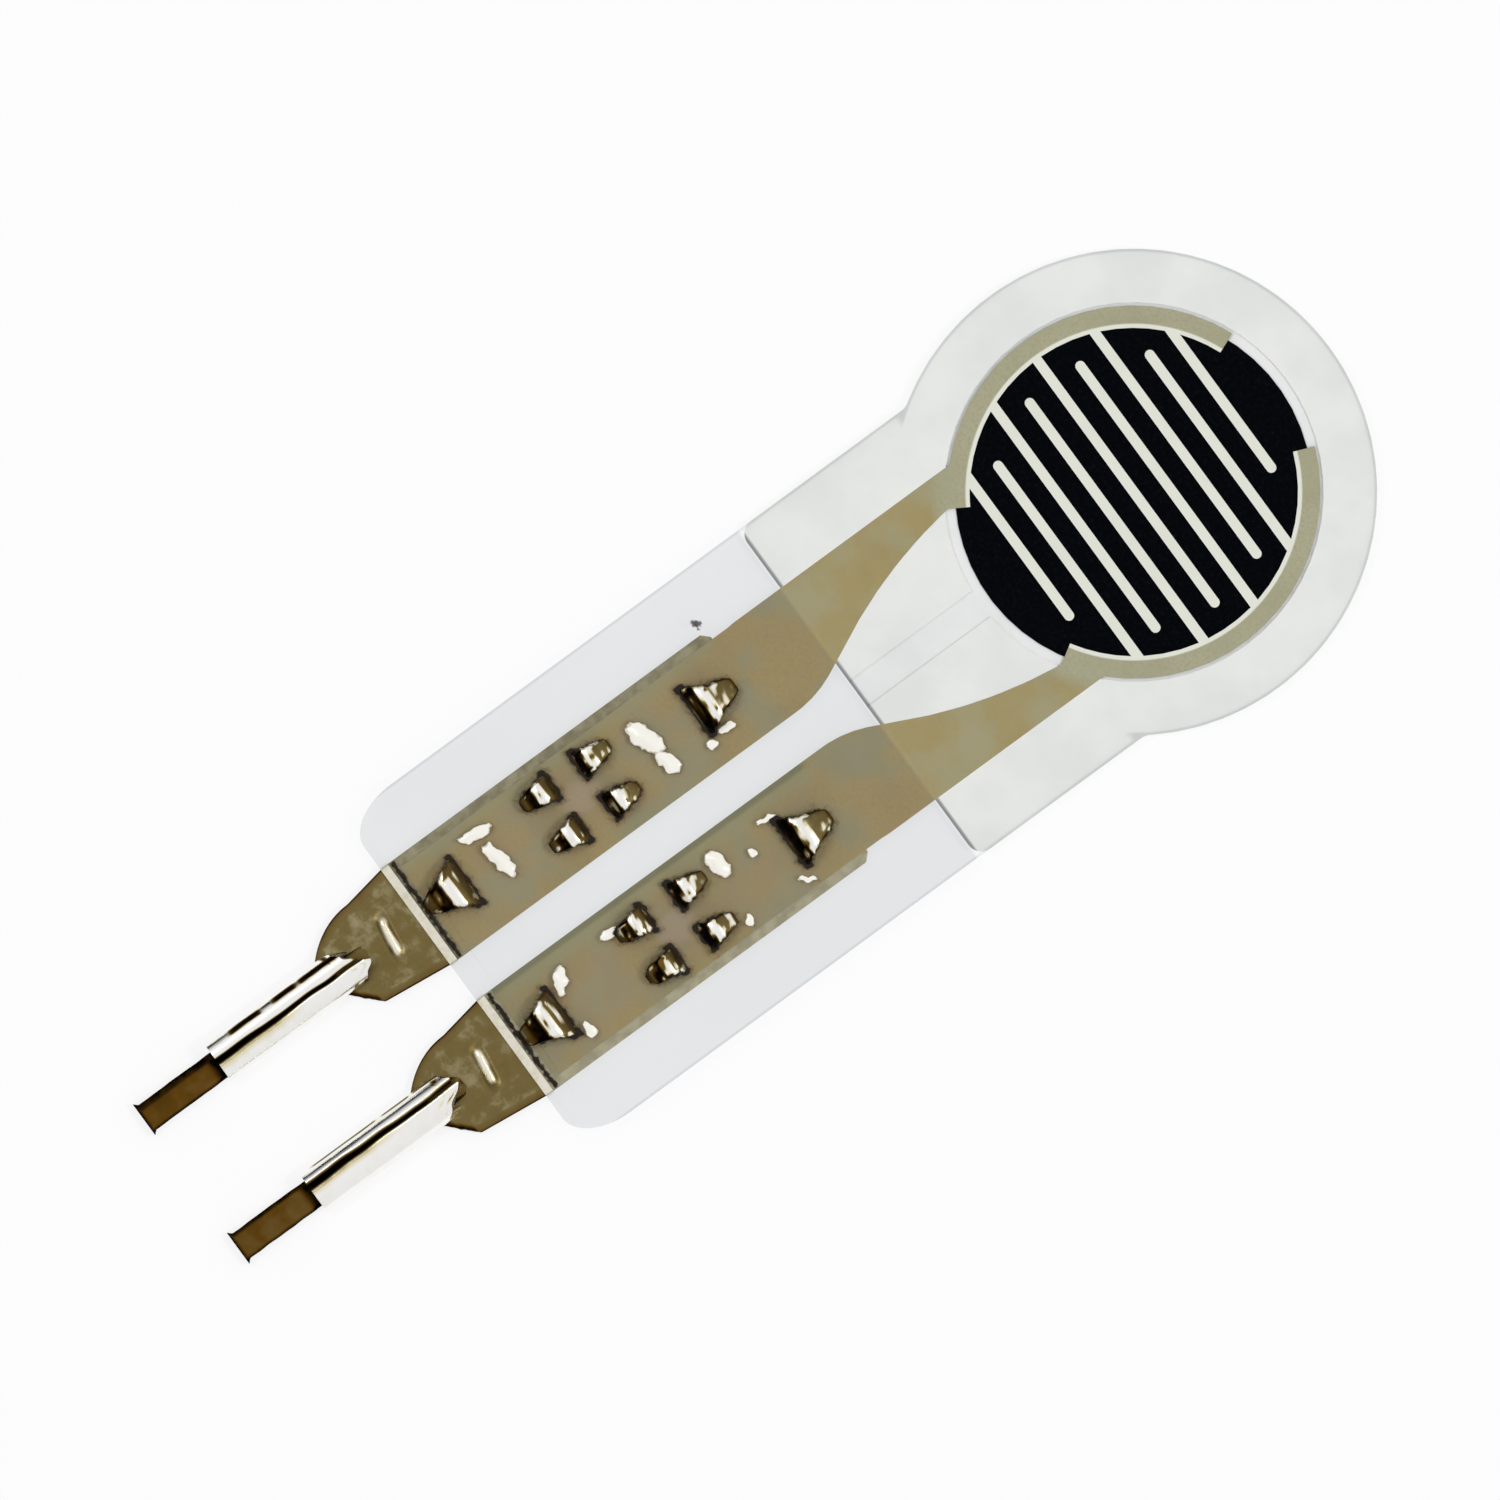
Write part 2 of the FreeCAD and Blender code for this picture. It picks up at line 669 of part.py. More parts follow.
def add_barrel(body, name):
    section = make_sketch(body, f"{name}_barrel_section", "XZ_Plane", -barrel_start_y)
    draw_barrel(section)
    pad(body, section, f"{name}_barrel", size("barrel_length"))
    # The folds grow out of the flat strip over a short ramp
    ramp = make_sketch(body, f"{name}_ramp_side", "YZ_Plane", barrel_width / 2)
    draw_polygon(ramp, [
        (barrel_full_y, barrel_height),
        (barrel_start_y, strip_thickness),
        (shoulder_y, strip_thickness),
        (shoulder_y, barrel_height * 2),
        (barrel_full_y, barrel_height * 2),
    ])
    pocket(body, ramp, f"{name}_ramp", barrel_width)


def check(document, parts):
    # Every object is up to date, and every part is one sound solid
    for item in document.Objects:
        if "Invalid" in item.State or "Error" in item.State:
            raise RuntimeError(f"{item.Label} failed: {item.State}")
    for part in parts:
        if part.Shape.isNull() or not part.Shape.isValid() or len(part.Shape.Solids) != 1:
            raise RuntimeError(f"{part.Label} is not one valid solid")


def main():
    document = FreeCAD.newDocument("ForceSensingResistor")
    make_sheet(document)
    parts = [
        make_lower_layer(document, "rear_adhesive", as_length(0), size("rear_adhesive_thickness")),
        make_lower_layer(document, "resistive_film", resistive_film_bottom,
                         size("resistive_film_thickness")),
        make_resistive_carbon(document),
        make_spacer(document),
        make_electrode(document, "left_electrode", -1, 0),
        make_electrode(document, "right_electrode", 1, 1),
        make_electrode_film(document),
        make_pin(document, "left_pin", -1),
        make_pin(document, "right_pin", 1),
    ]
    document.recompute()
    check(document, parts)
    os.makedirs("parts", exist_ok=True)
    for part in parts:
        part.Shape.exportStep(f"parts/{part.Label}.step")
        box = part.Shape.BoundBox
        print(f"{part.Label}: {part.Shape.Volume:.4f} mm3, x {box.XMin:.3f} to {box.XMax:.3f},"
              f" y {box.YMin:.3f} to {box.YMax:.3f}, z {box.ZMin:.3f} to {box.ZMax:.3f}")


main()
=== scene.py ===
import math

import bmesh
import bpy
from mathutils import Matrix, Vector, noise
from mathutils.geometry import tessellate_polygon


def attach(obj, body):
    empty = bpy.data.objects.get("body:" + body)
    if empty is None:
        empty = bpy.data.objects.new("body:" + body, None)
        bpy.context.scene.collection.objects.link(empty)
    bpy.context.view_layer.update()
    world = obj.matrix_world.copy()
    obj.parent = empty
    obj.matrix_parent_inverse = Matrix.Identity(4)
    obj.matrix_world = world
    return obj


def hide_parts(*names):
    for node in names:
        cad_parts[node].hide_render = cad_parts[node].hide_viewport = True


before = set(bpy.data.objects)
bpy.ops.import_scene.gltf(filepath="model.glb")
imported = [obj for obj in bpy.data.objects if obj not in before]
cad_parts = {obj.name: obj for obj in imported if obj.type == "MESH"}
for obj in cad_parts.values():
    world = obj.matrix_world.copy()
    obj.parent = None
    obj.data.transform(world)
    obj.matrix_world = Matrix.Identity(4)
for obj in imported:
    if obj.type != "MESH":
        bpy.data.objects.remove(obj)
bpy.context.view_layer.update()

mm = 0.001  # lengths below are written in millimetres
pinPitch = 2.54
print("frame loaded:", len(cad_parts), "CAD nodes")


# Materials

smooth = {"interpolation_type": "SMOOTHSTEP"}
falling = {"To Min": 1.0, "To Max": 0.0}
colours = {"data_type": "RGBA"}


def linearColour(code):
    channels = [int(code[start:start + 2], 16) / 255 for start in (1, 3, 5)]
    linear = [c / 12.92 if c <= 0.04045 else ((c + 0.055) / 1.055) ** 2.4 for c in channels]
    return (*linear, 1.0)


def addNode(tree, kind, settings, inputs):
    # Its inputs are plain values or the sockets that feed them, and it gives back its outputs
    node = tree.nodes.new("ShaderNode" + kind)
    for name, value in settings.items():
        setattr(node, name, value)
    for name, value in inputs.items():
        if isinstance(value, bpy.types.NodeSocket):
            tree.links.new(value, node.inputs[name])
        else:
            node.inputs[name].default_value = value
    return node.outputs


def startMaterial(name):
    # An empty material, and the place on the part in millimetres for its patterns
    material = bpy.data.materials.new(name)
    material.use_nodes = True
    tree = material.node_tree
    tree.nodes.clear()
    coordinates = addNode(tree, "TexCoord", {}, {})
    place = addNode(tree, "VectorMath", {"operation": "SCALE"}, {0: coordinates["Object"], "Scale": 1 / mm})
    return material, tree, place["Vector"]


def fromCentre(tree, axes):
    # How far a place is from the middle of the sensing area
    flat = addNode(tree, "CombineXYZ", {}, {"X": axes["X"], "Y": axes["Y"]})
    return addNode(tree, "VectorMath", {"operation": "LENGTH"}, {0: flat["Vector"]})["Value"]


def fromNearerPin(tree, fromMiddle):
    # How far a place is from the middle line of the nearer pin
    beside = addNode(tree, "Math", {"operation": "SUBTRACT"}, {0: fromMiddle, 1: pinPitch / 2})["Value"]
    return addNode(tree, "Math", {"operation": "ABSOLUTE"}, {0: beside})["Value"]


def makeClearPolyester():
    # Cast PET film: glossy and nearly colourless, so it only cools and greys what lies under it.
    # Bent at the crimps it turns white inside a brown rim, with a painted glint on the white; where it is
    # slit, painted shade darkens it, with a faint halo, and a painted shadow line lies over the pins near its
    # sheared end.
    look = {"bare": "#0c5068", "white": "#fffcf2", "rim": "#6a573b", "cut": "#1e1206", "speck": "#3a3836",
            "tailShare": 0.095, "headShare": 0.010, "sensingShare": 0.004, "edgeShare": 0.07,
            "sensingRadius": 2.9, "coveredTo": -5.35, "headRadius": 3.805, "tailHalf": 3.175, "neck": -2.30,
            "speckAt": (-2.37, -6.75, 0.3), "speckRadius": 0.07, "speckSoft": 0.03, "padEndShadowAt": -12.79,
            "padEndShadow": 0.8, "pinHalf": 0.93, "edgeLine": (0.06, 0.02), "rimFrom": (0.13, 0.36),
            "whiteAndGlintFrom": (0.34, 0.62), "cutFrom": (0.30, 0.66), "shadeHaloFrom": (0.12, 0.32), "grainSize": 0.10,
            "ragged": 0.12, "hazeSize": 2.5, "waveSize": 0.8, "waveHeight": 0.004}
    material, tree, place = startMaterial("clearPolyesterFilm")
    axes = addNode(tree, "SeparateXYZ", {}, {0: place})
    radius = fromCentre(tree, axes)
    grain = addNode(tree, "TexNoise", {}, {"Vector": place, "Scale": 1 / look["grainSize"],
                                           "Detail": 2.0})["Fac"]
    ragged = addNode(tree, "MapRange", smooth, {
        "Value": grain, "From Min": 0.3, "From Max": 0.7,
        "To Min": -look["ragged"], "To Max": look["ragged"]})["Result"]
    # Faint haze, drawn out along the web that the film was cut from
    web = addNode(tree, "VectorMath", {"operation": "MULTIPLY"}, {0: place, 1: (1.0, 0.35, 1.0)})["Vector"]
    haze = addNode(tree, "TexNoise", {}, {"Vector": web, "Scale": 1 / look["hazeSize"], "Detail": 4.0})["Fac"]
    haze = addNode(tree, "MapRange", smooth, {"Value": haze, "From Min": 0.25, "From Max": 0.75,
                                              "To Min": 0.9, "To Max": 1.1})["Result"]
    # How much of what is below it hides: least over the sensing area, most over the bare floor
    share = addNode(tree, "MapRange", smooth, {
        "Value": axes["Y"], "From Min": look["coveredTo"] - 0.05, "From Max": look["coveredTo"] + 0.03,
        "To Min": look["tailShare"], "To Max": look["headShare"]})["Result"]
    inside = addNode(tree, "MapRange", smooth, {"Value": radius, "From Min": look["sensingRadius"],
                                                "From Max": look["sensingRadius"] + 0.1})["Result"]
    share = addNode(tree, "Mix", {}, {0: inside, 2: look["sensingShare"], 3: share})[0]
    share = addNode(tree, "Math", {"operation": "MULTIPLY"}, {0: share, 1: haze})["Value"]
    # The cut outline is drawn as a thin grey line, painted shade along the edge
    outer, inner = look["edgeLine"]
    fromMiddle = addNode(tree, "Math", {"operation": "ABSOLUTE"}, {0: axes["X"]})["Value"]
    tailEdge = addNode(tree, "MapRange", smooth, {"Value": fromMiddle, "From Min": look["tailHalf"] - outer,
                                                  "From Max": look["tailHalf"] - inner})["Result"]
    headEdge = addNode(tree, "MapRange", smooth, {"Value": radius, "From Min": look["headRadius"] - outer,
                                                  "From Max": look["headRadius"] - inner})["Result"]
    onHead = addNode(tree, "MapRange", {}, {"Value": axes["Y"], "From Min": look["neck"] - 0.05,
                                            "From Max": look["neck"] + 0.05})["Result"]
    edge = addNode(tree, "Mix", {}, {0: onHead, 2: tailEdge, 3: headEdge})[0]
    share = addNode(tree, "Math", {"operation": "MULTIPLY_ADD"},
                    {0: edge, 1: look["edgeShare"], 2: share})["Value"]
    # Whitening with its painted glint and brown rim, and the painted shade of the slits with a faint halo
    strainWhiteAndGlint = addNode(tree, "Attribute", {"attribute_name": "strainWhiteAndGlint"}, {})["Fac"]
    strainWhiteAndGlint = addNode(tree, "Math", {"operation": "ADD"}, {0: strainWhiteAndGlint, 1: ragged})["Value"]
    rim = addNode(tree, "MapRange", smooth, {"Value": strainWhiteAndGlint, "From Min": look["rimFrom"][0],
                                             "From Max": look["rimFrom"][1], "To Max": 0.6})["Result"]
    # Stress whitening with a painted glint on it
    white = addNode(tree, "MapRange", smooth, {"Value": strainWhiteAndGlint, "From Min": look["whiteAndGlintFrom"][0],
                                               "From Max": look["whiteAndGlintFrom"][1]})["Result"]
    slitShade = addNode(tree, "Attribute", {"attribute_name": "slitShade"}, {})["Fac"]
    slitShade = addNode(tree, "Math", {"operation": "ADD"}, {0: slitShade, 1: ragged})["Value"]
    # Painted shade in the slits and close round each lance's tip
    cut = addNode(tree, "MapRange", smooth, {"Value": slitShade, "From Min": look["cutFrom"][0],
                                             "From Max": look["cutFrom"][1]})["Result"]
    # A faint halo of painted shade round each lance
    shadeHalo = addNode(tree, "MapRange", smooth, {"Value": slitShade, "From Min": look["shadeHaloFrom"][0],
                                              "From Max": look["shadeHaloFrom"][1], "To Max": 0.4})["Result"]
    rim = addNode(tree, "Math", {"operation": "MAXIMUM"}, {0: rim, 1: shadeHalo})["Value"]
    # The painted shadow line over the pins where the pads end, and one speck of dust
    overPin = addNode(tree, "MapRange", smooth, {
        "Value": fromNearerPin(tree, fromMiddle), "From Min": look["pinHalf"] - 0.04,
        "From Max": look["pinHalf"], "To Min": look["padEndShadow"], "To Max": 0.0})["Result"]
    fromPadEndShadow = addNode(tree, "Math", {"operation": "SUBTRACT"},
                         {0: axes["Y"], 1: look["padEndShadowAt"]})["Value"]
    fromPadEndShadow = addNode(tree, "Math", {"operation": "ABSOLUTE"}, {0: fromPadEndShadow})["Value"]
    fromPadEndShadow = addNode(tree, "Math", {"operation": "MULTIPLY_ADD"},
                         {0: ragged, 1: 0.2, 2: fromPadEndShadow})["Value"]
    padEndShadow = addNode(tree, "MapRange", smooth, {"Value": fromPadEndShadow, "From Min": 0.01, "From Max": 0.05,
                                                **falling})["Result"]
    padEndShadow = addNode(tree, "Math", {"operation": "MULTIPLY"}, {0: padEndShadow, 1: overPin})["Value"]
    fromSpeck = addNode(tree, "VectorMath", {"operation": "DISTANCE"},
                        {0: place, 1: look["speckAt"]})["Value"]
    fromSpeck = addNode(tree, "Math", {"operation": "MULTIPLY_ADD"},
                        {0: ragged, 1: 0.3, 2: fromSpeck})["Value"]
    speck = addNode(tree, "MapRange", smooth, {
        "Value": fromSpeck, "From Min": look["speckRadius"] - look["speckSoft"],
        "From Max": look["speckRadius"] + look["speckSoft"], "To Min": 0.9, "To Max": 0.0})["Result"]
    # Each mark's colour comes in well before the mark is opaque, or its rim would look blue
    tint = addNode(tree, "Math", {"operation": "MULTIPLY", "use_clamp": True}, {0: rim, 1: 6.0})["Value"]
    colour = addNode(tree, "Mix", colours, {0: tint, 6: linearColour(look["bare"]),
                                            7: linearColour(look["rim"])})[2]
    alpha = addNode(tree, "Math", {"operation": "MAXIMUM"}, {0: share, 1: rim})["Value"]
    marks = ((white, look["white"]), (cut, look["cut"]), (padEndShadow, look["cut"]), (speck, look["speck"]))
    for mask, code in marks:
        tint = addNode(tree, "Math", {"operation": "MULTIPLY", "use_clamp": True}, {0: mask, 1: 4.0})["Value"]
        colour = addNode(tree, "Mix", colours, {0: tint, 6: colour, 7: linearColour(code)})[2]
        alpha = addNode(tree, "Math", {"operation": "MAXIMUM"}, {0: alpha, 1: mask})["Value"]
    waves = addNode(tree, "TexNoise", {}, {"Vector": place, "Scale": 1 / look["waveSize"],
                                           "Detail": 2.0})["Fac"]
    bump = addNode(tree, "Bump", {}, {"Height": waves, "Distance": look["waveHeight"] * mm,
                                      "Strength": 1.0})["Normal"]
    shader = addNode(tree, "BsdfPrincipled", {}, {
        "Base Color": colour, "Alpha": alpha, "IOR": 1.57, "Specular IOR Level": 0.2, "Roughness": 0.12,
        "Normal": bump})
    addNode(tree, "OutputMaterial", {}, {"Surface": shader["BSDF"]})
    return material


def makeShearedEdge():
    # The same film where it was sheared: a rough slope, painted pale cream over the pins as a highlight along
    # its lit edge, and as clear as the rest beside them
    look = {"pale": "#fffaea", "dull": "#efe6cd", "bare": "#0c5068", "pinHalf": 0.93, "soft": 0.04,
            "highlightOverPins": 0.9, "clear": 0.1, "dragSize": 0.10, "dragHeight": 0.01}
    material, tree, place = startMaterial("shearedPolyesterEdge")
    along = addNode(tree, "VectorMath", {"operation": "MULTIPLY"}, {0: place, 1: (1.0, 0.25, 1.0)})["Vector"]
    drag = addNode(tree, "TexNoise", {}, {"Vector": along, "Scale": 1 / look["dragSize"], "Detail": 3.0,
                                          "Roughness": 0.6})["Fac"]
    share = addNode(tree, "MapRange", smooth, {"Value": drag, "From Min": 0.35, "From Max": 0.75})["Result"]
    colour = addNode(tree, "Mix", colours, {0: share, 6: linearColour(look["pale"]),
                                            7: linearColour(look["dull"])})[2]
    axes = addNode(tree, "SeparateXYZ", {}, {0: place})
    fromMiddle = addNode(tree, "Math", {"operation": "ABSOLUTE"}, {0: axes["X"]})["Value"]
    # Painted highlight: pale cream and nearly opaque over the pins, clear beside them
    beside = addNode(tree, "MapRange", smooth, {
        "Value": fromNearerPin(tree, fromMiddle), "From Min": look["pinHalf"] - look["soft"],
        "From Max": look["pinHalf"] + look["soft"]})["Result"]
    colour = addNode(tree, "Mix", colours, {0: beside, 6: colour, 7: linearColour(look["bare"])})[2]
    alpha = addNode(tree, "Mix", {}, {0: beside, 2: look["highlightOverPins"], 3: look["clear"]})[0]
    bump = addNode(tree, "Bump", {}, {"Height": drag, "Distance": look["dragHeight"] * mm,
                                      "Strength": 1.0})["Normal"]
    shader = addNode(tree, "BsdfPrincipled", {}, {"Base Color": colour, "IOR": 1.57, "Roughness": 0.45,
                                                  "Alpha": alpha, "Specular IOR Level": 0.2, "Normal": bump})
    addNode(tree, "OutputMaterial", {}, {"Surface": shader["BSDF"]})
    return material


def makeLaminate(name, pale, cloud, roughness):
    # White-filled polyester and milky acrylic adhesive: off-white, faintly clouded by trapped air,
    # with a grey line of painted shade along the cut end where the layers step down
    look = {"stepShade": "#8d8f90", "cutAt": -5.35, "nearStepShade": (0.03, 0.08), "cloudSize": 1.3, "fibreSize": 0.14,
            "fibreHeight": 0.003}
    material, tree, place = startMaterial(name)
    clouds = addNode(tree, "TexNoise", {}, {"Vector": place, "Scale": 1 / look["cloudSize"], "Detail": 4.0,
                                            "Roughness": 0.6})["Fac"]
    fibres = addNode(tree, "TexNoise", {}, {"Vector": place, "Scale": 1 / look["fibreSize"],
                                            "Detail": 2.0})["Fac"]
    clouds = addNode(tree, "MapRange", smooth, {"Value": clouds, "From Min": 0.35, "From Max": 0.68,
                                                "To Max": 0.8})["Result"]
    share = addNode(tree, "Math", {"operation": "MULTIPLY_ADD", "use_clamp": True},
                    {0: fibres, 1: 0.2, 2: clouds})["Value"]
    colour = addNode(tree, "Mix", colours, {0: share, 6: linearColour(pale), 7: linearColour(cloud)})[2]
    axes = addNode(tree, "SeparateXYZ", {}, {0: place})
    # Painted shade: grey along the cut end
    nearStepShade = addNode(tree, "MapRange", smooth, {
        "Value": axes["Y"], "From Min": look["cutAt"] + look["nearStepShade"][0],
        "From Max": look["cutAt"] + look["nearStepShade"][1], **falling})["Result"]
    colour = addNode(tree, "Mix", colours, {0: nearStepShade, 6: colour, 7: linearColour(look["stepShade"])})[2]
    bump = addNode(tree, "Bump", {}, {"Height": fibres, "Distance": look["fibreHeight"] * mm,
                                      "Strength": 1.0})["Normal"]
    shader = addNode(tree, "BsdfPrincipled", {}, {"Base Color": colour, "IOR": 1.5, "Roughness": roughness,
                                                  "Normal": bump})
    addNode(tree, "OutputMaterial", {}, {"Surface": shader["BSDF"]})
    return material


def makeCarbonInk():
    # Screen-printed carbon: matt and deep black, with a fine grain
    look = {"black": "#020204", "grey": "#0c0c10", "grainSize": 0.06, "grainHeight": 0.004}
    material, tree, place = startMaterial("printedCarbonInk")
    grain = addNode(tree, "TexNoise", {}, {"Vector": place, "Scale": 1 / look["grainSize"], "Detail": 3.0,
                                           "Roughness": 0.6})["Fac"]
    share = addNode(tree, "MapRange", smooth, {"Value": grain, "From Min": 0.45, "From Max": 0.8})["Result"]
    colour = addNode(tree, "Mix", colours, {0: share, 6: linearColour(look["black"]),
                                            7: linearColour(look["grey"])})[2]
    bump = addNode(tree, "Bump", {}, {"Height": grain, "Distance": look["grainHeight"] * mm,
                                      "Strength": 1.0})["Normal"]
    shader = addNode(tree, "BsdfPrincipled", {}, {"Base Color": colour, "IOR": 1.45, "Roughness": 0.8,
                                                  "Specular IOR Level": 0.03, "Normal": bump})
    addNode(tree, "OutputMaterial", {}, {"Surface": shader["BSDF"]})
    return material


def makeSilverInk():
    # Screen-printed silver flake: satin, yellowed to tan by air, and painted pale on the thin fingers for
    # their sheen.
    # The crimps have stained it brown, and painted shade darkens it to olive along the pins' near edges.
    look = {"ring": "#a4a286", "lead": "#9e8e5b", "pad": "#b29a60", "flake": "#948763", "pale": "#dedfd3",
            "stain": "#b0986c", "patch": "#b8a181", "olive": "#a69e72", "line": "#88805a", "cloud": "#9c9a7c",
            "paleRadius": 2.62, "ringRadius": 2.96, "padFrom": -5.35, "crimpCentre": -9.8, "crimpReach": 3.1,
            "leftEdge": -2.20, "rightEdge": 0.34, "pinsFrom": -6.68, "soft": 0.1, "wideBand": 0.42,
            "narrowBand": 0.14, "flakeSize": 0.05, "flakeHeight": 0.004, "stainSize": 0.45, "cloudSize": 0.8}
    material, tree, place = startMaterial("printedSilverInk")
    axes = addNode(tree, "SeparateXYZ", {}, {0: place})
    radius = fromCentre(tree, axes)
    flake = addNode(tree, "TexNoise", {}, {"Vector": place, "Scale": 1 / look["flakeSize"], "Detail": 2.0,
                                           "Roughness": 0.6})["Fac"]
    blots = addNode(tree, "TexNoise", {}, {"Vector": place, "Scale": 1 / look["stainSize"],
                                           "Detail": 3.0})["Fac"]
    onLead = addNode(tree, "MapRange", smooth, {"Value": radius, "From Min": look["ringRadius"],
                                                "From Max": look["ringRadius"] + 0.3})["Result"]
    colour = addNode(tree, "Mix", colours, {0: onLead, 6: linearColour(look["ring"]),
                                            7: linearColour(look["lead"])})[2]
    onPad = addNode(tree, "MapRange", smooth, {
        "Value": axes["Y"], "From Min": look["padFrom"] - look["soft"],
        "From Max": look["padFrom"] + look["soft"], **falling})["Result"]
    colour = addNode(tree, "Mix", colours, {0: onPad, 6: colour, 7: linearColour(look["pad"])})[2]
    share = addNode(tree, "MapRange", smooth, {"Value": flake, "From Min": 0.4, "From Max": 0.75,
                                               "To Max": 0.5})["Result"]
    colour = addNode(tree, "Mix", colours, {0: share, 6: colour, 7: linearColour(look["flake"])})[2]
    clouds = addNode(tree, "TexNoise", {}, {"Vector": place, "Scale": 1 / look["cloudSize"],
                                            "Detail": 3.0})["Fac"]
    share = addNode(tree, "MapRange", smooth, {"Value": clouds, "From Min": 0.4, "From Max": 0.65,
                                               "To Max": 0.6})["Result"]
    colour = addNode(tree, "Mix", colours, {0: share, 6: colour, 7: linearColour(look["cloud"])})[2]
    # Brown stains between the lances, and a clean patch in the middle of each crimp
    fromMiddle = addNode(tree, "Math", {"operation": "ABSOLUTE"}, {0: axes["X"]})["Value"]
    across = fromNearerPin(tree, fromMiddle)
    along = addNode(tree, "Math", {"operation": "SUBTRACT"}, {0: axes["Y"], 1: look["crimpCentre"]})["Value"]
    along = addNode(tree, "Math", {"operation": "ABSOLUTE"}, {0: along})["Value"]
    reach = addNode(tree, "MapRange", smooth, {"Value": along, "From Min": look["crimpReach"] - 0.6,
                                               "From Max": look["crimpReach"], **falling})["Result"]
    zone = addNode(tree, "MapRange", smooth, {"Value": across, "From Min": 0.35, "From Max": 0.85,
                                              **falling})["Result"]
    zone = addNode(tree, "Math", {"operation": "MULTIPLY"}, {0: zone, 1: reach})["Value"]
    stain = addNode(tree, "MapRange", smooth, {"Value": blots, "From Min": 0.38, "From Max": 0.6,
                                               "To Max": 0.5})["Result"]
    stain = addNode(tree, "Math", {"operation": "MULTIPLY"}, {0: stain, 1: zone})["Value"]
    colour = addNode(tree, "Mix", colours, {0: stain, 6: colour, 7: linearColour(look["stain"])})[2]
    oval = addNode(tree, "CombineXYZ", {}, {"X": across, "Y": along})["Vector"]
    oval = addNode(tree, "VectorMath", {"operation": "MULTIPLY"}, {0: oval, 1: (4.0, 3.0, 0)})["Vector"]
    oval = addNode(tree, "VectorMath", {"operation": "LENGTH"}, {0: oval})["Value"]
    patch = addNode(tree, "MapRange", smooth, {"Value": oval, "From Min": 0.8, "From Max": 1.2,
                                               "To Min": 0.7, "To Max": 0.0})["Result"]
    colour = addNode(tree, "Mix", colours, {0: patch, 6: colour, 7: linearColour(look["patch"])})[2]
    # Over each pin, two darker bands of painted shade inwards from its edge on the -X side
    edgeAt = addNode(tree, "MapRange", {}, {
        "Value": axes["X"], "From Min": -0.01, "From Max": 0.01,
        "To Min": look["leftEdge"], "To Max": look["rightEdge"]})["Result"]
    fromEdge = addNode(tree, "Math", {"operation": "SUBTRACT"}, {0: axes["X"], 1: edgeAt})["Value"]
    overPin = addNode(tree, "MapRange", smooth, {
        "Value": axes["Y"], "From Min": look["pinsFrom"] - look["soft"],
        "From Max": look["pinsFrom"] + look["soft"], **falling})["Result"]
    bands = ((look["wideBand"], 0.7, look["olive"]), (look["narrowBand"], 0.85, look["line"]))
    for width, strength, code in bands:
        shade = addNode(tree, "MapRange", smooth, {"Value": fromEdge, "From Min": width * 0.4,
                                                   "From Max": width, "To Min": strength,
                                                   "To Max": 0.0})["Result"]
        shade = addNode(tree, "Math", {"operation": "MULTIPLY"}, {0: shade, 1: overPin})["Value"]
        colour = addNode(tree, "Mix", colours, {0: shade, 6: colour, 7: linearColour(code)})[2]
    # Painted sheen: the thin fingers inside the ring are painted pale
    pale = addNode(tree, "MapRange", smooth, {"Value": radius, "From Min": look["paleRadius"],
                                              "From Max": look["paleRadius"] + 0.03, **falling})["Result"]
    colour = addNode(tree, "Mix", colours, {0: pale, 6: colour, 7: linearColour(look["pale"])})[2]
    rough = addNode(tree, "MapRange", smooth, {"Value": blots, "From Min": 0.3, "From Max": 0.7,
                                               "To Min": 0.42, "To Max": 0.6})["Result"]
    bump = addNode(tree, "Bump", {}, {"Height": flake, "Distance": look["flakeHeight"] * mm,
                                      "Strength": 1.0})["Normal"]
    shader = addNode(tree, "BsdfPrincipled", {}, {"Base Color": colour, "Metallic": 0.25, "Roughness": rough,
                                                  "Normal": bump})
    addNode(tree, "OutputMaterial", {}, {"Surface": shader["BSDF"]})
    return material


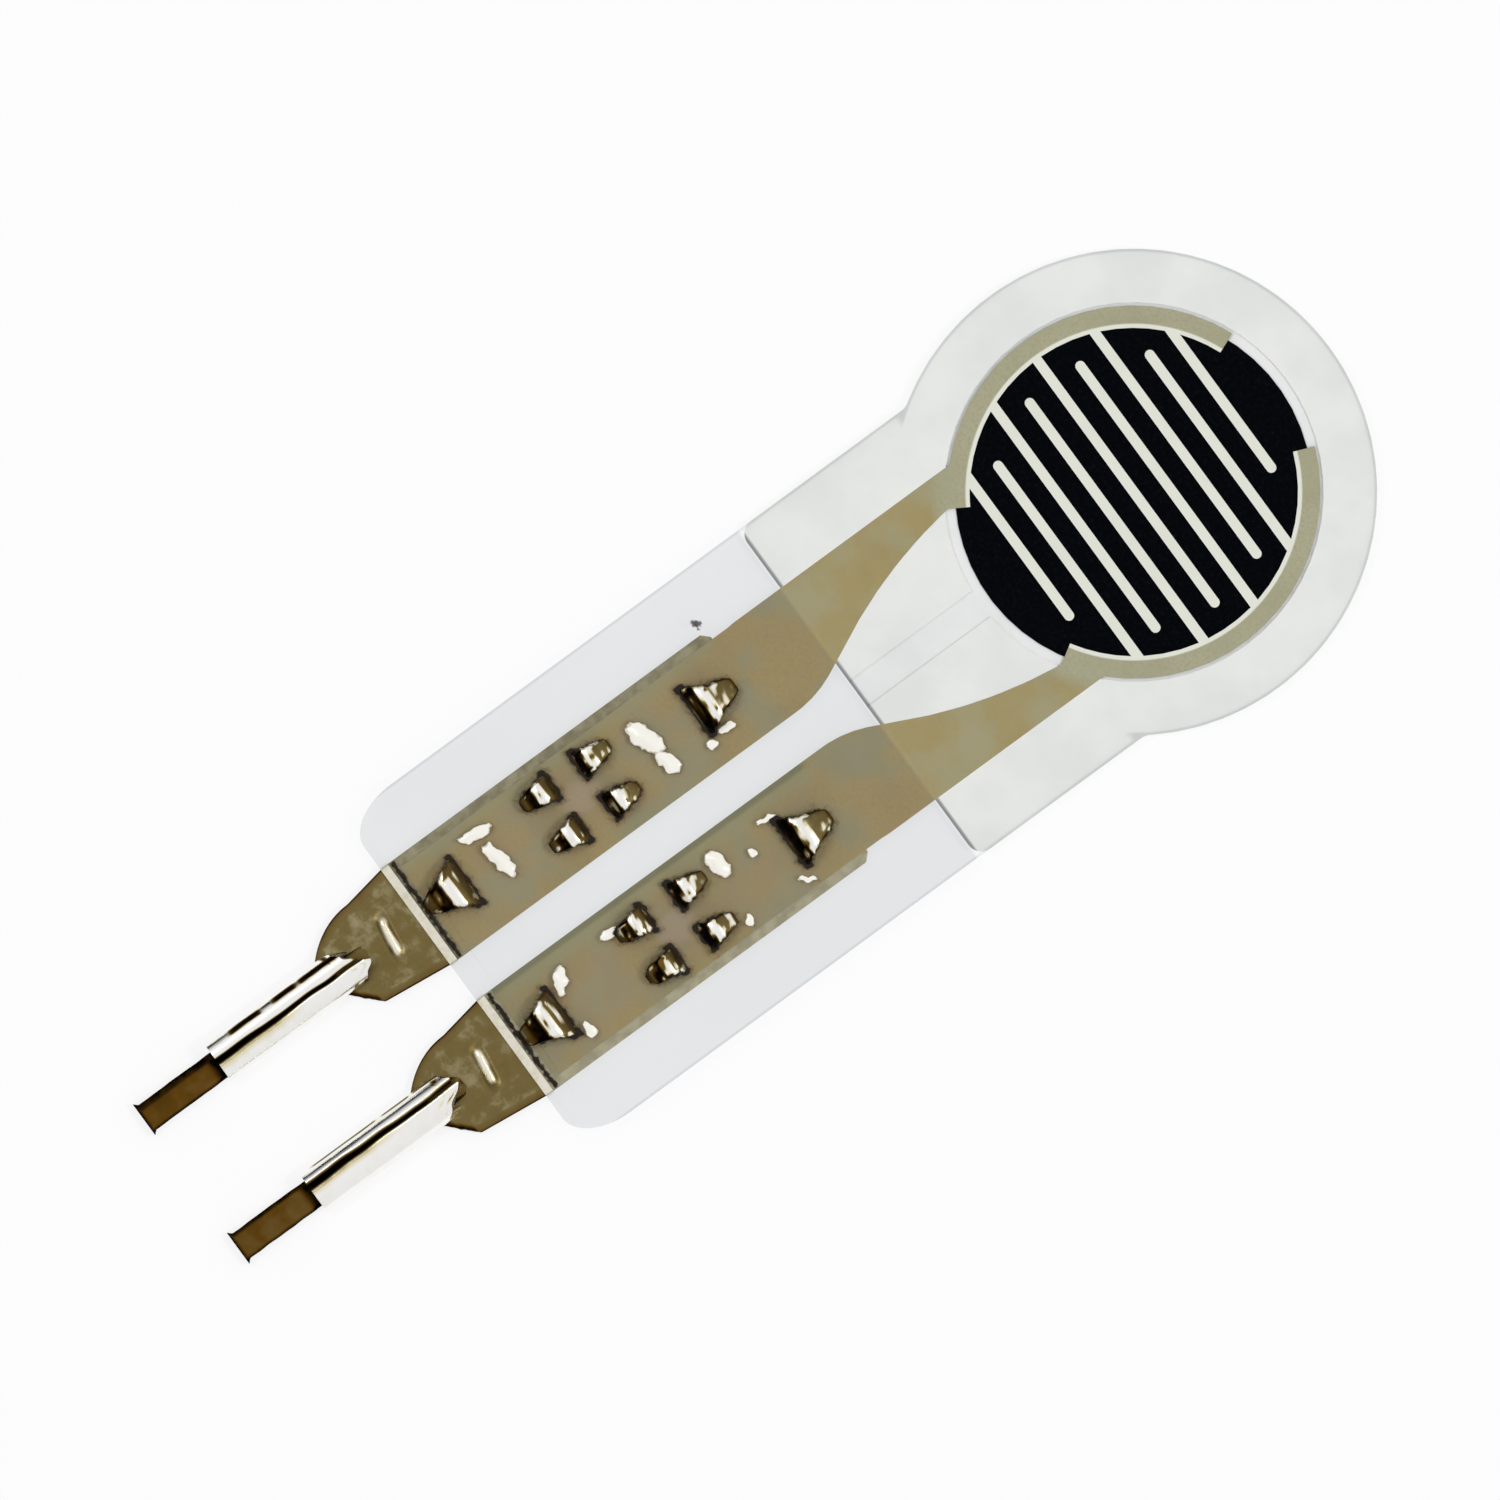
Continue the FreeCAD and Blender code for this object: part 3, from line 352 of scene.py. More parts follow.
def makeTinnedBrass():
    # Stamped brass strip with a tin plate: mirror bright in places, an olive brown where the plate has aged,
    # and black at cuts. The mesh says how aged each place is, and also carries painted light and shade:
    # painted highlights on the bead and lances, and painted shade in folds, inside the barrel and on lance
    # faces.
    look = {"agesAndLight": ((0.0, "#fbfaf7"), (0.25, "#e2d8b6"), (0.5, "#6a5d39"), (0.75, "#53390f"),
                     (1.0, "#050302")),
            "shine": ((0.0, 0.13), (0.5, 0.36), (1.0, 0.5)), "blotSize": 0.22, "blots": 0.03,
            "scratchSize": 0.05, "scratchHeight": 0.002}
    material, tree, place = startMaterial("tinnedBrassAgedAndShaded")
    ageAndLight = addNode(tree, "Attribute", {"attribute_name": "ageAndLight"}, {})["Fac"]
    blots = addNode(tree, "TexNoise", {}, {"Vector": place, "Scale": 1 / look["blotSize"], "Detail": 4.0,
                                           "Roughness": 0.6})["Fac"]
    along = addNode(tree, "VectorMath", {"operation": "MULTIPLY"}, {0: place, 1: (1.0, 0.12, 1.0)})["Vector"]
    scratches = addNode(tree, "TexNoise", {}, {"Vector": along, "Scale": 1 / look["scratchSize"],
                                               "Detail": 2.0})["Fac"]
    blots = addNode(tree, "MapRange", smooth, {"Value": blots, "From Min": 0.3, "From Max": 0.7,
                                               "To Min": -look["blots"], "To Max": look["blots"]})["Result"]
    ageAndLight = addNode(tree, "Math", {"operation": "ADD"}, {0: ageAndLight, 1: blots})["Value"]
    colour = linearColour(look["agesAndLight"][0][1])
    for (low, _), (high, code) in zip(look["agesAndLight"], look["agesAndLight"][1:]):
        share = addNode(tree, "MapRange", {}, {"Value": ageAndLight, "From Min": low, "From Max": high})["Result"]
        colour = addNode(tree, "Mix", colours, {0: share, 6: colour, 7: linearColour(code)})[2]
    rough = look["shine"][0][1]
    for (low, _), (high, value) in zip(look["shine"], look["shine"][1:]):
        share = addNode(tree, "MapRange", {}, {"Value": ageAndLight, "From Min": low, "From Max": high})["Result"]
        rough = addNode(tree, "Mix", {}, {0: share, 2: rough, 3: value})[0]
    rough = addNode(tree, "Math", {"operation": "MULTIPLY_ADD"}, {0: scratches, 1: 0.06, 2: rough})["Value"]
    bump = addNode(tree, "Bump", {}, {"Height": scratches, "Distance": look["scratchHeight"] * mm,
                                      "Strength": 1.0})["Normal"]
    shader = addNode(tree, "BsdfPrincipled", {}, {"Base Color": colour, "Metallic": 1.0, "Roughness": rough,
                                                  "Normal": bump})
    addNode(tree, "OutputMaterial", {}, {"Surface": shader["BSDF"]})
    return material


clearPolyester = makeClearPolyester()
shearedEdge = makeShearedEdge()
fillerFilm = makeLaminate("whitePolyesterFilm", "#f1f1f1", "#e7e8e8", 0.35)
milkyAdhesive = makeLaminate("milkyAcrylicAdhesive", "#f1f2ee", "#e6e8e5", 0.5)
carbonInk = makeCarbonInk()
silverInk = makeSilverInk()
tinnedBrass = makeTinnedBrass()
print("materials made")


# Meshes

weldDistance = 0.0005


def makePiece(name, vertices, faces, materials, attributes, faceMaterials=None, sharpAngle=40):
    mesh = bpy.data.meshes.new(name)
    mesh.from_pydata([[value * mm for value in vertex] for vertex in vertices], [], faces)
    for material in materials:
        mesh.materials.append(material)
    if faceMaterials:
        mesh.polygons.foreach_set("material_index", faceMaterials)
    for title, values in attributes.items():
        mesh.attributes.new(title, "FLOAT", "POINT").data.foreach_set("value", values)
    welded = bmesh.new()
    welded.from_mesh(mesh)
    bmesh.ops.remove_doubles(welded, verts=welded.verts, dist=weldDistance * mm)
    welded.to_mesh(mesh)
    welded.free()
    mesh.polygons.foreach_set("use_smooth", [True] * len(mesh.polygons))
    mesh.set_sharp_from_angle(angle=math.radians(sharpAngle))
    piece = bpy.data.objects.new(name, mesh)
    bpy.context.scene.collection.objects.link(piece)
    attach(piece, "root")
    return piece


def signedArea(loop):
    return sum(x * loop[index - 1][1] - loop[index - 1][0] * y for index, (x, y) in enumerate(loop)) / -2


def fillLoops(loops, upwards=True):
    # Triangles over an outline with holes, as places in the list of all the loops' points
    points = [point for loop in loops for point in loop]
    triangles = []
    for a, b, c in tessellate_polygon([[Vector((x, y, 0)) for x, y in loop] for loop in loops]):
        if (signedArea([points[a], points[b], points[c]]) > 0) != upwards:
            b, c = c, b
        triangles.append((a, b, c))
    return triangles


def blend(value, low, high):
    share = min(1.0, max(0.0, (value - low) / (high - low)))
    return share * share * (3 - 2 * share)


def spread(low, high, count):
    return [low + (high - low) * index / (count - 1) for index in range(count)]


def arcPoints(centre, radius, startAngle, endAngle, count):
    turns = [math.radians(angle) for angle in spread(startAngle, endAngle, count)]
    return [(centre[0] + radius * math.cos(turn), centre[1] + radius * math.sin(turn)) for turn in turns]


class Shell:
    # Vertices with their age and painted light and shade, and faces, collected for one pin
    def __init__(self):
        self.vertices = []
        self.faces = []
        self.ageAndLight = []

    def addLoft(self, rings, agesAndLight):
        # Rings of equally many points, joined in turn and closed at both ends
        count = len(rings[0])
        start = len(self.vertices)
        for ring, values in zip(rings, agesAndLight):
            self.vertices += ring
            self.ageAndLight += values
        for row in range(len(rings) - 1):
            for step in range(count):
                near = start + row * count + step
                far = start + row * count + (step + 1) % count
                self.faces.append((near, far, far + count, near + count))
        self.faces.append(tuple(start + step for step in reversed(range(count))))
        last = start + (len(rings) - 1) * count
        self.faces.append(tuple(last + step for step in range(count)))

    def addPlate(self, outline, holes, low, high, ageAndLight):
        # A flat plate with holes
        loops = [outline] + holes
        points = [point for loop in loops for point in loop]
        count = len(points)
        start = len(self.vertices)
        self.vertices += [(x, y, low) for x, y in points] + [(x, y, high) for x, y in points]
        self.ageAndLight += [ageAndLight] * count * 2
        for a, b, c in fillLoops(loops):
            self.faces.append((start + count + a, start + count + b, start + count + c))
            self.faces.append((start + a, start + c, start + b))
        first = start
        for loop in loops:
            forward = (signedArea(loop) > 0) == (loop is outline)
            for step in range(len(loop)):
                a = first + step
                b = first + (step + 1) % len(loop)
                if not forward:
                    a, b = b, a
                self.faces.append((a, b, b + count, a + count))
            first += len(loop)


# Solder pins: a flat strip under the film, six curled lances, and a strip folded into a barrel

# Where a value differs from side to side, or from pin to pin, -1 is the one at -X and 1 the one at +X
pinStrip = {"thickness": 0.18, "headEnd": -6.68, "corner": 0.12, "half": 0.93, "filmEnd": -12.95,
            "shoulderHalf": 0.79, "shoulder": {-1: -13.75, 1: -14.16}, "reach": {-1: 1.02, 1: 0.43},
            "waist": {-1: 0.25, 1: 0.34}, "rounding": 0.03, "coveredAge": {-1: 0.43, 1: 0.37}, "ageAndLight": 0.50}
crimp = {"centre": -9.80, "thickness": 0.12, "flattened": 0.88, "droop": 24, "filmTop": 0.30, "offLine": 0.01,
         "ringPoints": 28}
endLance = {"root": 2.20, "width": 0.90, "tipWidth": 0.44, "curl": 0.18, "across": (0.0,)}
middleLance = {"root": 0.24, "width": 0.48, "tipWidth": 0.32, "curl": 0.13, "across": (-0.40, 0.40)}
bead = {"y": -13.50, "halfLength": 0.33, "halfWidth": 0.13, "height": 0.055, "slope": 0.15, "ageAndLight": 0.14}
barrel = {"start": -13.95, "end": -16.84, "floorHalf": 0.11, "bendRadius": 0.16, "frontLength": 1.25,
          "frontAt": {-1: 0.10, 1: -0.06}, "seam": 0.04, "openSeam": 0.08, "openFrom": -15.0,
          "seamAt": {-1: 0.0, 1: -0.11}, "lineTurn": {-1: 2.50, 1: 1.85}, "lineHalf": 0.26,
          "lineDepth": {-1: 1.0, 1: 0.55}, "lineEnd": (16.55, 16.7), "shadowStart": (15.0, 15.8),
          "ringPoints": 91}
tongue = {"half": 0.24, "end": -18.30, "bevel": 0.025, "burrHalf": 0.30, "burrLength": 0.07,
          "ageAndLight": {-1: 0.74, 1: 0.70}, "shift": {-1: 0.05, 1: 0.0}, "darkFrom": {-1: 0.80, 1: 0.90}}


def listLances():
    # Each lance: its sizes, its place across the pin and which way it curls
    return [(lance, across, direction) for lance in (endLance, middleLance)
            for across in lance["across"] for direction in (-1, 1)]


def lanceReach(lance):
    # From its root's outer face to its tip, which comes down to the height where the curl began
    droop = math.radians(crimp["droop"])
    inner = lance["curl"]
    return (inner + crimp["thickness"] + inner * math.sin(droop)
            + inner * math.cos(droop) ** 2 / math.sin(droop))


def lanceHalf(lance, share):
    # Half width: it narrows a little along the lance and then rounds off
    half = (lance["width"] + (lance["tipWidth"] - lance["width"]) * blend(share, -0.1, 0.75)) / 2
    return half * math.sqrt(1 - 0.75 * max(0.0, (share - 0.6) / 0.4) ** 2)


def addStripPlate(shell, pinX):
    # The part under the film, with a window that each lance was cut from
    half, corner, head = pinStrip["half"], pinStrip["corner"], pinStrip["headEnd"]
    outline = [(half - corner, head), (corner - half, head), (-half, head - corner),
               (-half, pinStrip["filmEnd"]), (half, pinStrip["filmEnd"]), (half, head - corner)]
    holes = []
    for lance, across, direction in listLances():
        # Two windows side by side start a hair apart, so that no three corners are in line
        root = crimp["centre"] + direction * (lance["root"] + crimp["offLine"] * across)
        edge = [(lanceHalf(lance, share), root + direction * lanceReach(lance) * share)
                for share in (0.0, 0.25, 0.5, 0.7, 0.8, 0.88, 0.94)]
        holes.append([(across + half, y) for half, y in edge]
                     + [(across - half, y) for half, y in edge[::-1]])
    outline, *holes = [[(pinX + x, y) for x, y in loop] for loop in [outline] + holes]
    shell.addPlate(outline, holes, 0.0, pinStrip["thickness"], pinStrip["coveredAge"][1 if pinX > 0 else -1])


def addShoulders(shell, pinX):
    # Past the film the strip narrows, takes the bead across it, and ends in shoulders beside the barrel
    high, rounding = pinStrip["thickness"], pinStrip["rounding"]
    low, last = pinStrip["shoulder"][1], pinStrip["shoulder"][-1] - pinStrip["reach"][-1]
    # Closest together over the bead, and then where the shoulders turn in
    stations = spread(pinStrip["filmEnd"], -13.28, 6) + spread(-13.30, -13.70, 19)
    stations += spread(-13.74, low - 0.001, 12) + spread(low - 0.02, last, 20)
    rings, agesAndLight = [], []
    for y in stations:
        widths, past = {}, {}
        for side in (-1, 1):
            shoulder, waist = pinStrip["shoulder"][side], pinStrip["waist"][side]
            share = min(1.0, (pinStrip["filmEnd"] - y) / (pinStrip["filmEnd"] - shoulder))
            wide = pinStrip["half"] + (pinStrip["shoulderHalf"] - pinStrip["half"]) * share
            past[side] = min(1.0, max(0.0, (shoulder - y) / pinStrip["reach"][side]))
            # Round at -X, and a straight ragged cut at +X
            taper = (1 - past[side] ** 2) ** 0.85 if side < 0 else 1 - past[side]
            widths[side] = waist + (wide - waist) * taper
        left, right = widths[-1], widths[1]
        if past[1] > 0:
            right += 0.03 * noise.noise(Vector((y * 14, 1, 5)))
        ring = [(-left + rounding, 0), (right - rounding, 0), (right, rounding), (right, high - rounding)]
        values = [0.8, 0.8, 1.0, 1.0]
        for x in [right - rounding, right - 0.06, right - 0.14, *spread(right - 0.22, -left + 0.18, 31),
                  -left + 0.10, -left + rounding]:
            fromBead = (y - bead["y"] + bead["slope"] * x) / bead["halfWidth"]
            lift = bead["height"] * max(0.0, 1 - fromBead ** 2) ** 2 * (
                1 - blend(abs(x), bead["halfLength"] - 0.12, bead["halfLength"] + 0.08))
            # Painted highlight: the bead's crest is painted pale cream
            uneven = lift / bead["height"] + 0.45 * noise.noise(Vector((x * 6, y * 8, pinX * 3)))
            beadGlint = (pinStrip["ageAndLight"] - bead["ageAndLight"]) * blend(uneven, 0.35, 0.95)
            shade = 0.15 * (1 - blend(min(x + left, right - x), 0.02, 0.14))
            # Painted shade along the ragged +X cut past the shoulder
            rolledEdgeShade = 0.5 * blend(past[1], 0.0, 0.1) * (1 - blend(right - x, 0.04, 0.12))
            tone = 0.05 * noise.noise(Vector((x * 2.5, y * 2.5, pinX)))
            ring.append((x, high + lift))
            values.append(min(1.0, pinStrip["ageAndLight"] + tone - beadGlint + max(shade, rolledEdgeShade)))
        ring += [(-left, high - rounding), (-left, rounding)]
        rings.append([(pinX + x, y, z) for x, z in ring])
        agesAndLight.append(values + [0.85, 0.9])
    # The first ring is drawn in, so that the strip starts inside the part under the film
    first = [(pinX + (x - pinX) * 0.9, y + 0.08, high / 2 + (z - high / 2) * 0.8) for x, y, z in rings[0]]
    shell.addLoft([first] + rings, [agesAndLight[0]] + agesAndLight)


def barrelRing(y, pinX, front):
    # A section of the folded strip: up both sides and over to the seam, with its ages and painted light and
    # shade
    half = pinStrip["thickness"] / 2
    bend = math.pi * barrel["bendRadius"]
    floorHalf = barrel["floorHalf"]
    pin = 1 if pinX > 0 else -1
    opened = blend(-y, -barrel["openFrom"], -barrel["end"])
    gap = barrel["seam"] + (barrel["openSeam"] - barrel["seam"]) * opened
    seamAt = barrel["seamAt"][pin] + 0.03 * noise.noise(Vector((y * 1.7, pinX * 5, 2)))
    outer, inner = [], []
    outerAgeAndLight, innerAgeAndLight = [], []
    for place in spread(-1, 1, barrel["ringPoints"]):
        side = -1 if place < 0 else 1
        width = floorHalf * 2 + bend - gap / 2 - side * seamAt
        along = abs(place) * width
        turn = min(max(0.0, along - floorHalf), bend) / barrel["bendRadius"]
        x = min(along, floorHalf) + barrel["bendRadius"] * math.sin(turn) - max(0.0, along - floorHalf - bend)
        z = barrel["bendRadius"] * (1 - math.cos(turn))
        edge = 1 - blend(width - along, 0.0, 0.035)
        rim = half * (1 - 0.25 * (1 - blend(width - along, 0.0, 0.03)))
        wave = 0.08 * noise.noise(Vector((y * 1.6, pinX, 3)))
        # The dark line where the dark wall shows in the curve, the shade by the seam, and small flecks
        fromLine = abs(turn - barrel["lineTurn"][pin] + wave)
        line = 1 - blend(fromLine, barrel["lineHalf"] * 0.5, barrel["lineHalf"])
        line *= barrel["lineDepth"][pin] * (side < 0) * (1 - blend(-y, *barrel["lineEnd"]))
        line *= blend(0.55 + noise.noise(Vector((y * 3.1, pinX * 2, 7))), 0.0, 0.25)
        shadow = 0.45 * (1 - blend(width - along, 0.02, 0.15)) * (side > 0)
        shadow *= blend(-y, *barrel["shadowStart"])
        flecks = 1.8 * max(0.0, noise.noise(Vector((place * 8, y * 12, pinX * 2))) - 0.10)
        flecks *= 1 - blend(front, 0.0, 0.5)
        # Seen from above, the front runs back from a point near the middle to both sides
        away = abs(side * x - barrel["frontAt"][pin])
        back = (1.3 * away + 0.6 * away * away) * blend(turn, 0.3, 1.4)
        back += 0.07 * noise.noise(Vector((place * 9, pinX * 3, 1)))
        back *= 1 - blend(front, 0.0, barrel["frontLength"])
        # Painted shade: the inside of the fold is darker
        underside = 0.6 if turn < 1.5 and front < 0.6 else 1.0
        for points, values, sign in ((outer, outerAgeAndLight, -1), (inner, innerAgeAndLight, 1)):
            height = half + z + sign * rim * (0.97 if sign < 0 else 1.06) * math.cos(turn)
            points.append((pinX + side * (x - sign * rim * math.sin(turn)), y - back, height))
            values.append(underside if sign > 0 else min(1.0, max(0.95 * edge, line, flecks, shadow)))
    return outer + inner[::-1], outerAgeAndLight + innerAgeAndLight[::-1]


def addBarrel(shell, pinX):
    # Closest together over the pointed front
    stations = spread(barrel["start"], -14.9, 24) + spread(-14.96, barrel["end"], 34)
    rings, agesAndLight = zip(*[barrelRing(y, pinX, barrel["start"] - y) for y in stations])
    shell.addLoft(rings, agesAndLight)


def addTongue(shell, pinX):
    # Flat, with rough sheared sides, painted shade along one edge and a burr at the tip
    high, bevel = pinStrip["thickness"], tongue["bevel"]
    pin = 1 if pinX > 0 else -1
    dark = tongue["darkFrom"][pin]
    rings, agesAndLight = [], []
    burrStart = tongue["end"] + tongue["burrLength"]
    stations = spread(barrel["end"] + 0.05, burrStart, 30)
    stations += [burrStart - 0.03, tongue["end"] + 0.01, tongue["end"]]
    for y in stations:
        burr = blend(burrStart - y, 0.0, tongue["burrLength"])
        halves = {}
        for side in (-1, 1):
            rough = 0.010 * noise.noise(Vector((pinX * 3, y * 4.0, side)))
            halves[side] = tongue["half"] + (tongue["burrHalf"] - tongue["half"]) * burr + rough
        left, right = -halves[-1], halves[1]
        ring = [(left + bevel, 0), (right - bevel, 0), (right, bevel), (right, high - bevel)]
        ring += [(right + (left - right) * share, high) for share in (0.05, 0.12, 0.5, dark - 0.08, dark)]
        ring += [(left, high - bevel), (left, bevel)]
        shadow = 0.28 * (1 - blend(barrel["end"] - y, 0.05, 0.18))
        agedAndShaded = tongue["ageAndLight"][pin] + 0.3 * burr + shadow + 0.05 * noise.noise(Vector((y * 5, pinX, 9)))
        rings.append([(pinX + x + tongue["shift"][pin], y, z) for x, z in ring])
        # The top is painted dark near its -X edge as painted shade, and its age carries the painted shadow by
        # the barrel
        agesAndLight.append([1.0] * 4 + [agedAndShaded + 0.2, agedAndShaded, agedAndShaded, agedAndShaded + 0.04, 0.95, 1.0, 1.0])
    shell.addLoft(rings, agesAndLight)


# Painted light and shade on the lances: ages of the faces towards the tail (painted shade), down at the root
# and down at the tip, and how strong the painted dark outline, the ragged edge, the painted glints and the
# dark marks are
lanceShading = {"tailFace": 1.0, "rootFace": 0.60, "tipFace": 0.52, "tipFades": 0.42, "crestTurn": (14, 22),
        "sideOutline": 0.45, "tipOutline": 0.4, "ragged": 0.35, "paintedGlints": 0.8, "marked": 0.7}


def lanceAgeAndLight(direction, angle, share, side, out, seed):
    # Bright over the crest, black as painted shade on the face towards the tail, and brown on the face
    # towards the head
    if out < -0.3:
        return 1.0
    tailFacing = angle * direction > 0
    steep = blend(abs(angle) + 8 * noise.noise(Vector((side * 4, seed, 0))), *lanceShading["crestTurn"])
    slope = lanceShading["tailFace"] if tailFacing else lanceShading["tipFace"] if angle < 0 else lanceShading["rootFace"]
    if tailFacing and angle < 0:
        slope = lanceShading["tailFace"] - lanceShading["tipFades"] * blend(share, 0.72, 0.86)
    # A painted dark outline of shade along the lance's sides and round its tip
    outline = lanceShading["sideOutline"] * blend(abs(side), 0.78, 0.98) * blend(share, 0.30, 0.5)
    outline += lanceShading["tipOutline"] * blend(share, 0.93, 1.0)
    ragged = lanceShading["ragged"] * noise.noise(Vector((side * 3 + 7 * seed, share * 9, seed)))
    uneven = ragged * (0.3 + steep * (1 - steep) * 3)
    # Painted glints on the slopes in places, and dark marks on the crest
    glintAndMarkNoise = noise.noise(Vector((side * 2.2 + 5 * seed, share * 8, seed * 3.1)))
    paintedGlints = lanceShading["paintedGlints"] * blend(glintAndMarkNoise, 0.20, 0.40) * steep * (1 - blend(share, 0.85, 0.95))
    marked = lanceShading["marked"] * blend(-glintAndMarkNoise, 0.25, 0.42) * (1 - steep)
    return min(1.0, max(0.0, slope * steep + outline + uneven - paintedGlints + marked))


def addLance(shell, pinX, lance, across, direction, seed):
    # Up through the film, over in a curl and down to press on the film
    thickness = crimp["thickness"]
    droop = math.radians(crimp["droop"])
    inner = lance["curl"]
    middle = inner + thickness / 2
    root = crimp["centre"] + direction * lance["root"]
    top = crimp["filmTop"]
    path = [(thickness / 2, z, 90.0) for z in spread(0.06, top, 5)]
    for angle in spread(90, -crimp["droop"], 24)[1:]:
        turn = math.radians(90 + angle)
        path.append((inner + thickness + middle * math.cos(turn), top + middle * math.sin(turn), angle))
    endX, endZ, _ = path[-1]
    slope = inner * math.cos(droop) / math.sin(droop)
    for share in (0.15, 0.3, 0.45, 0.6, 0.72, 0.82, 0.9, 0.96, 1.0):
        path.append((endX + slope * share * math.cos(droop), endZ - slope * share * math.sin(droop),
                     -crimp["droop"]))
    reach = path[-1][0]
    tilt = 0.10 * noise.noise(Vector((seed * 5.3, 2.0, 0)))
    rings, agesAndLight = [], []
    for index, (along, z, angle) in enumerate(path):
        share = along / reach
        half = lanceHalf(lance, share)
        wobble = 0.022 * noise.noise(Vector((seed * 7.1, index * 0.35, 0)))
        turn = math.radians(angle)
        thick = thickness / 2 * crimp["flattened"] * (1 - 0.35 * blend(share, 0.85, 1.0))
        ring, values = [], []
        for step in range(crimp["ringPoints"]):
            around = math.tau * step / crimp["ringPoints"]
            # A flat oval: the face is slightly crowned, and its edges are rounded by the punch
            side = math.copysign(abs(math.cos(around)) ** 0.45, math.cos(around))
            out = math.copysign(abs(math.sin(around)) ** 0.55, math.sin(around))
            offset = out * thick * (1 + 0.12 * (1 - side * side) * (out > 0))
            ring.append((pinX + across + side * (half + wobble), root + direction * (
                along - math.sin(turn) * offset + wobble * 0.5 + tilt * side * half * share),
                z + math.cos(turn) * offset))
            values.append(lanceAgeAndLight(direction, angle, share, side, out, seed))
        rings.append(ring if direction > 0 else ring[::-1])
        agesAndLight.append(values if direction > 0 else values[::-1])
    shell.addLoft(rings, agesAndLight)


def makePin(side, name, node):
    shell = Shell()
    pinX = side * pinPitch / 2
    addStripPlate(shell, pinX)
    addShoulders(shell, pinX)
    addBarrel(shell, pinX)
    addTongue(shell, pinX)
    for number, (lance, across, direction) in enumerate(listLances()):
        addLance(shell, pinX, lance, across, direction, number + 1 + 10 * side)
    piece = makePiece(name, shell.vertices, shell.faces, [tinnedBrass], {"ageAndLight": shell.ageAndLight})
    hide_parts(node)


makePin(-1, "leftSolderPin", "left_pin")
makePin(1, "rightSolderPin", "right_pin")
print("solder pins made")


# Clear upper film, puckered round the crimps, with painted shade where it is slit

film = {"headRadius": 3.805, "half": 3.175, "fillet": 0.30, "end": -13.00, "corner": (0.55, 0.92),
        "low": 0.203, "high": 0.30, "bevelStart": -12.86, "bevelDrop": 0.09,
        "patchHalf": 0.97, "patchHead": -6.30, "patchTail": -12.60, "cell": 0.035}

# The puckers by each pin: across it, along the part, half length, half width, angle, height, whitening with
# its painted glint
puckers = {
    -1: [(-0.13, -8.44, 0.33, 0.16, 20, 0.07, 1.0), (0.37, -8.38, 0.22, 0.12, 15, 0.06, 1.0),
         (-0.50, -11.48, 0.27, 0.09, 80, 0.05, 1.0), (0.06, -11.40, 0.33, 0.12, 10, 0.06, 1.0),
         (0.57, -7.65, 0.09, 0.07, 60, 0.03, 0.9), (0.49, -7.32, 0.15, 0.06, 82, 0.03, 0.9)],
    1: [(-0.42, -8.69, 0.24, 0.13, 10, 0.06, 1.0), (-0.24, -8.14, 0.08, 0.07, 30, 0.03, 0.9),
        (0.58, -8.81, 0.11, 0.06, 160, 0.03, 0.9), (0.61, -7.69, 0.16, 0.05, 48, 0.03, 0.8),
        (-0.39, -11.76, 0.23, 0.10, 144, 0.05, 1.0), (0.48, -11.84, 0.14, 0.07, 170, 0.04, 0.95),
        (-0.54, -10.70, 0.20, 0.06, 86, 0.03, 0.85), (-0.53, -7.68, 0.18, 0.05, 94, 0.03, 0.75)],
}


def filmOutline():
    # Anticlockwise from the right neck, with corners where the sheared slope begins
    half, fillet, head = film["half"], film["fillet"], film["headRadius"]
    centreX = half + fillet
    centreY = -math.sqrt((head + fillet) ** 2 - centreX ** 2)
    neck = math.degrees(math.atan2(centreY, centreX))
    wide, long = film["corner"]
    points = arcPoints((0, 0), head, neck, 180 - neck, 160)
    points += arcPoints((-centreX, centreY), fillet, -neck, 0, 8)[1:]
    corner = [(half - wide + wide * x, film["end"] + long + long * y)
              for x, y in arcPoints((0, 0), 1, 270, 360, 18)]
    points += [(-x, y) for x, y in corner[::-1]] + corner
    points += arcPoints((centreX, centreY), fillet, 180, 180 + neck, 8)[:-1]
    outline = []
    for index, point in enumerate(points):
        previous = points[index - 1]
        if (point[1] > film["bevelStart"]) != (previous[1] > film["bevelStart"]):
            share = (film["bevelStart"] - previous[1]) / (point[1] - previous[1])
            outline.append((previous[0] + (point[0] - previous[0]) * share, film["bevelStart"]))
        outline.append(point)
    return outline


def filmTop(y):
    drop = max(0.0, film["bevelStart"] - y) / (film["bevelStart"] - film["end"])
    return film["high"] - film["bevelDrop"] * drop


def puckerAt(side, x, y):
    # Height of the film above its flat face, and how far it has whitened, with its painted glint
    height, white = 0.0, 0.0
    warp = 0.06 * noise.noise(Vector((x * 7 + side * 9, y * 7, 0)))
    for across, along, halfLength, halfWidth, angle, rise, whiteAndGlintLevel in puckers[side]:
        turn = math.radians(angle)
        dx, dy = x - across, y - along
        u = (dx * math.cos(turn) + dy * math.sin(turn)) / halfLength
        v = (dy * math.cos(turn) - dx * math.sin(turn) + warp) / halfWidth
        distance = math.hypot(u, v)
        height += rise * (1 - blend(distance, 0.0, 1.6))
        white = max(white, whiteAndGlintLevel * (1 - blend(distance, 0.55, 1.45)))
    for lance, across, direction in listLances():
        root = crimp["centre"] + direction * (lance["root"] + 0.25)
        distance = math.hypot((x - across) / (lance["width"] / 2 + 0.22), (y - root) / 0.42)
        height += 0.02 * (1 - blend(distance, 0.3, 1.3))
    rim = min(film["patchHalf"] - abs(x), film["patchHead"] - y, y - film["patchTail"])
    return height * blend(rim, 0.0, 0.15), white


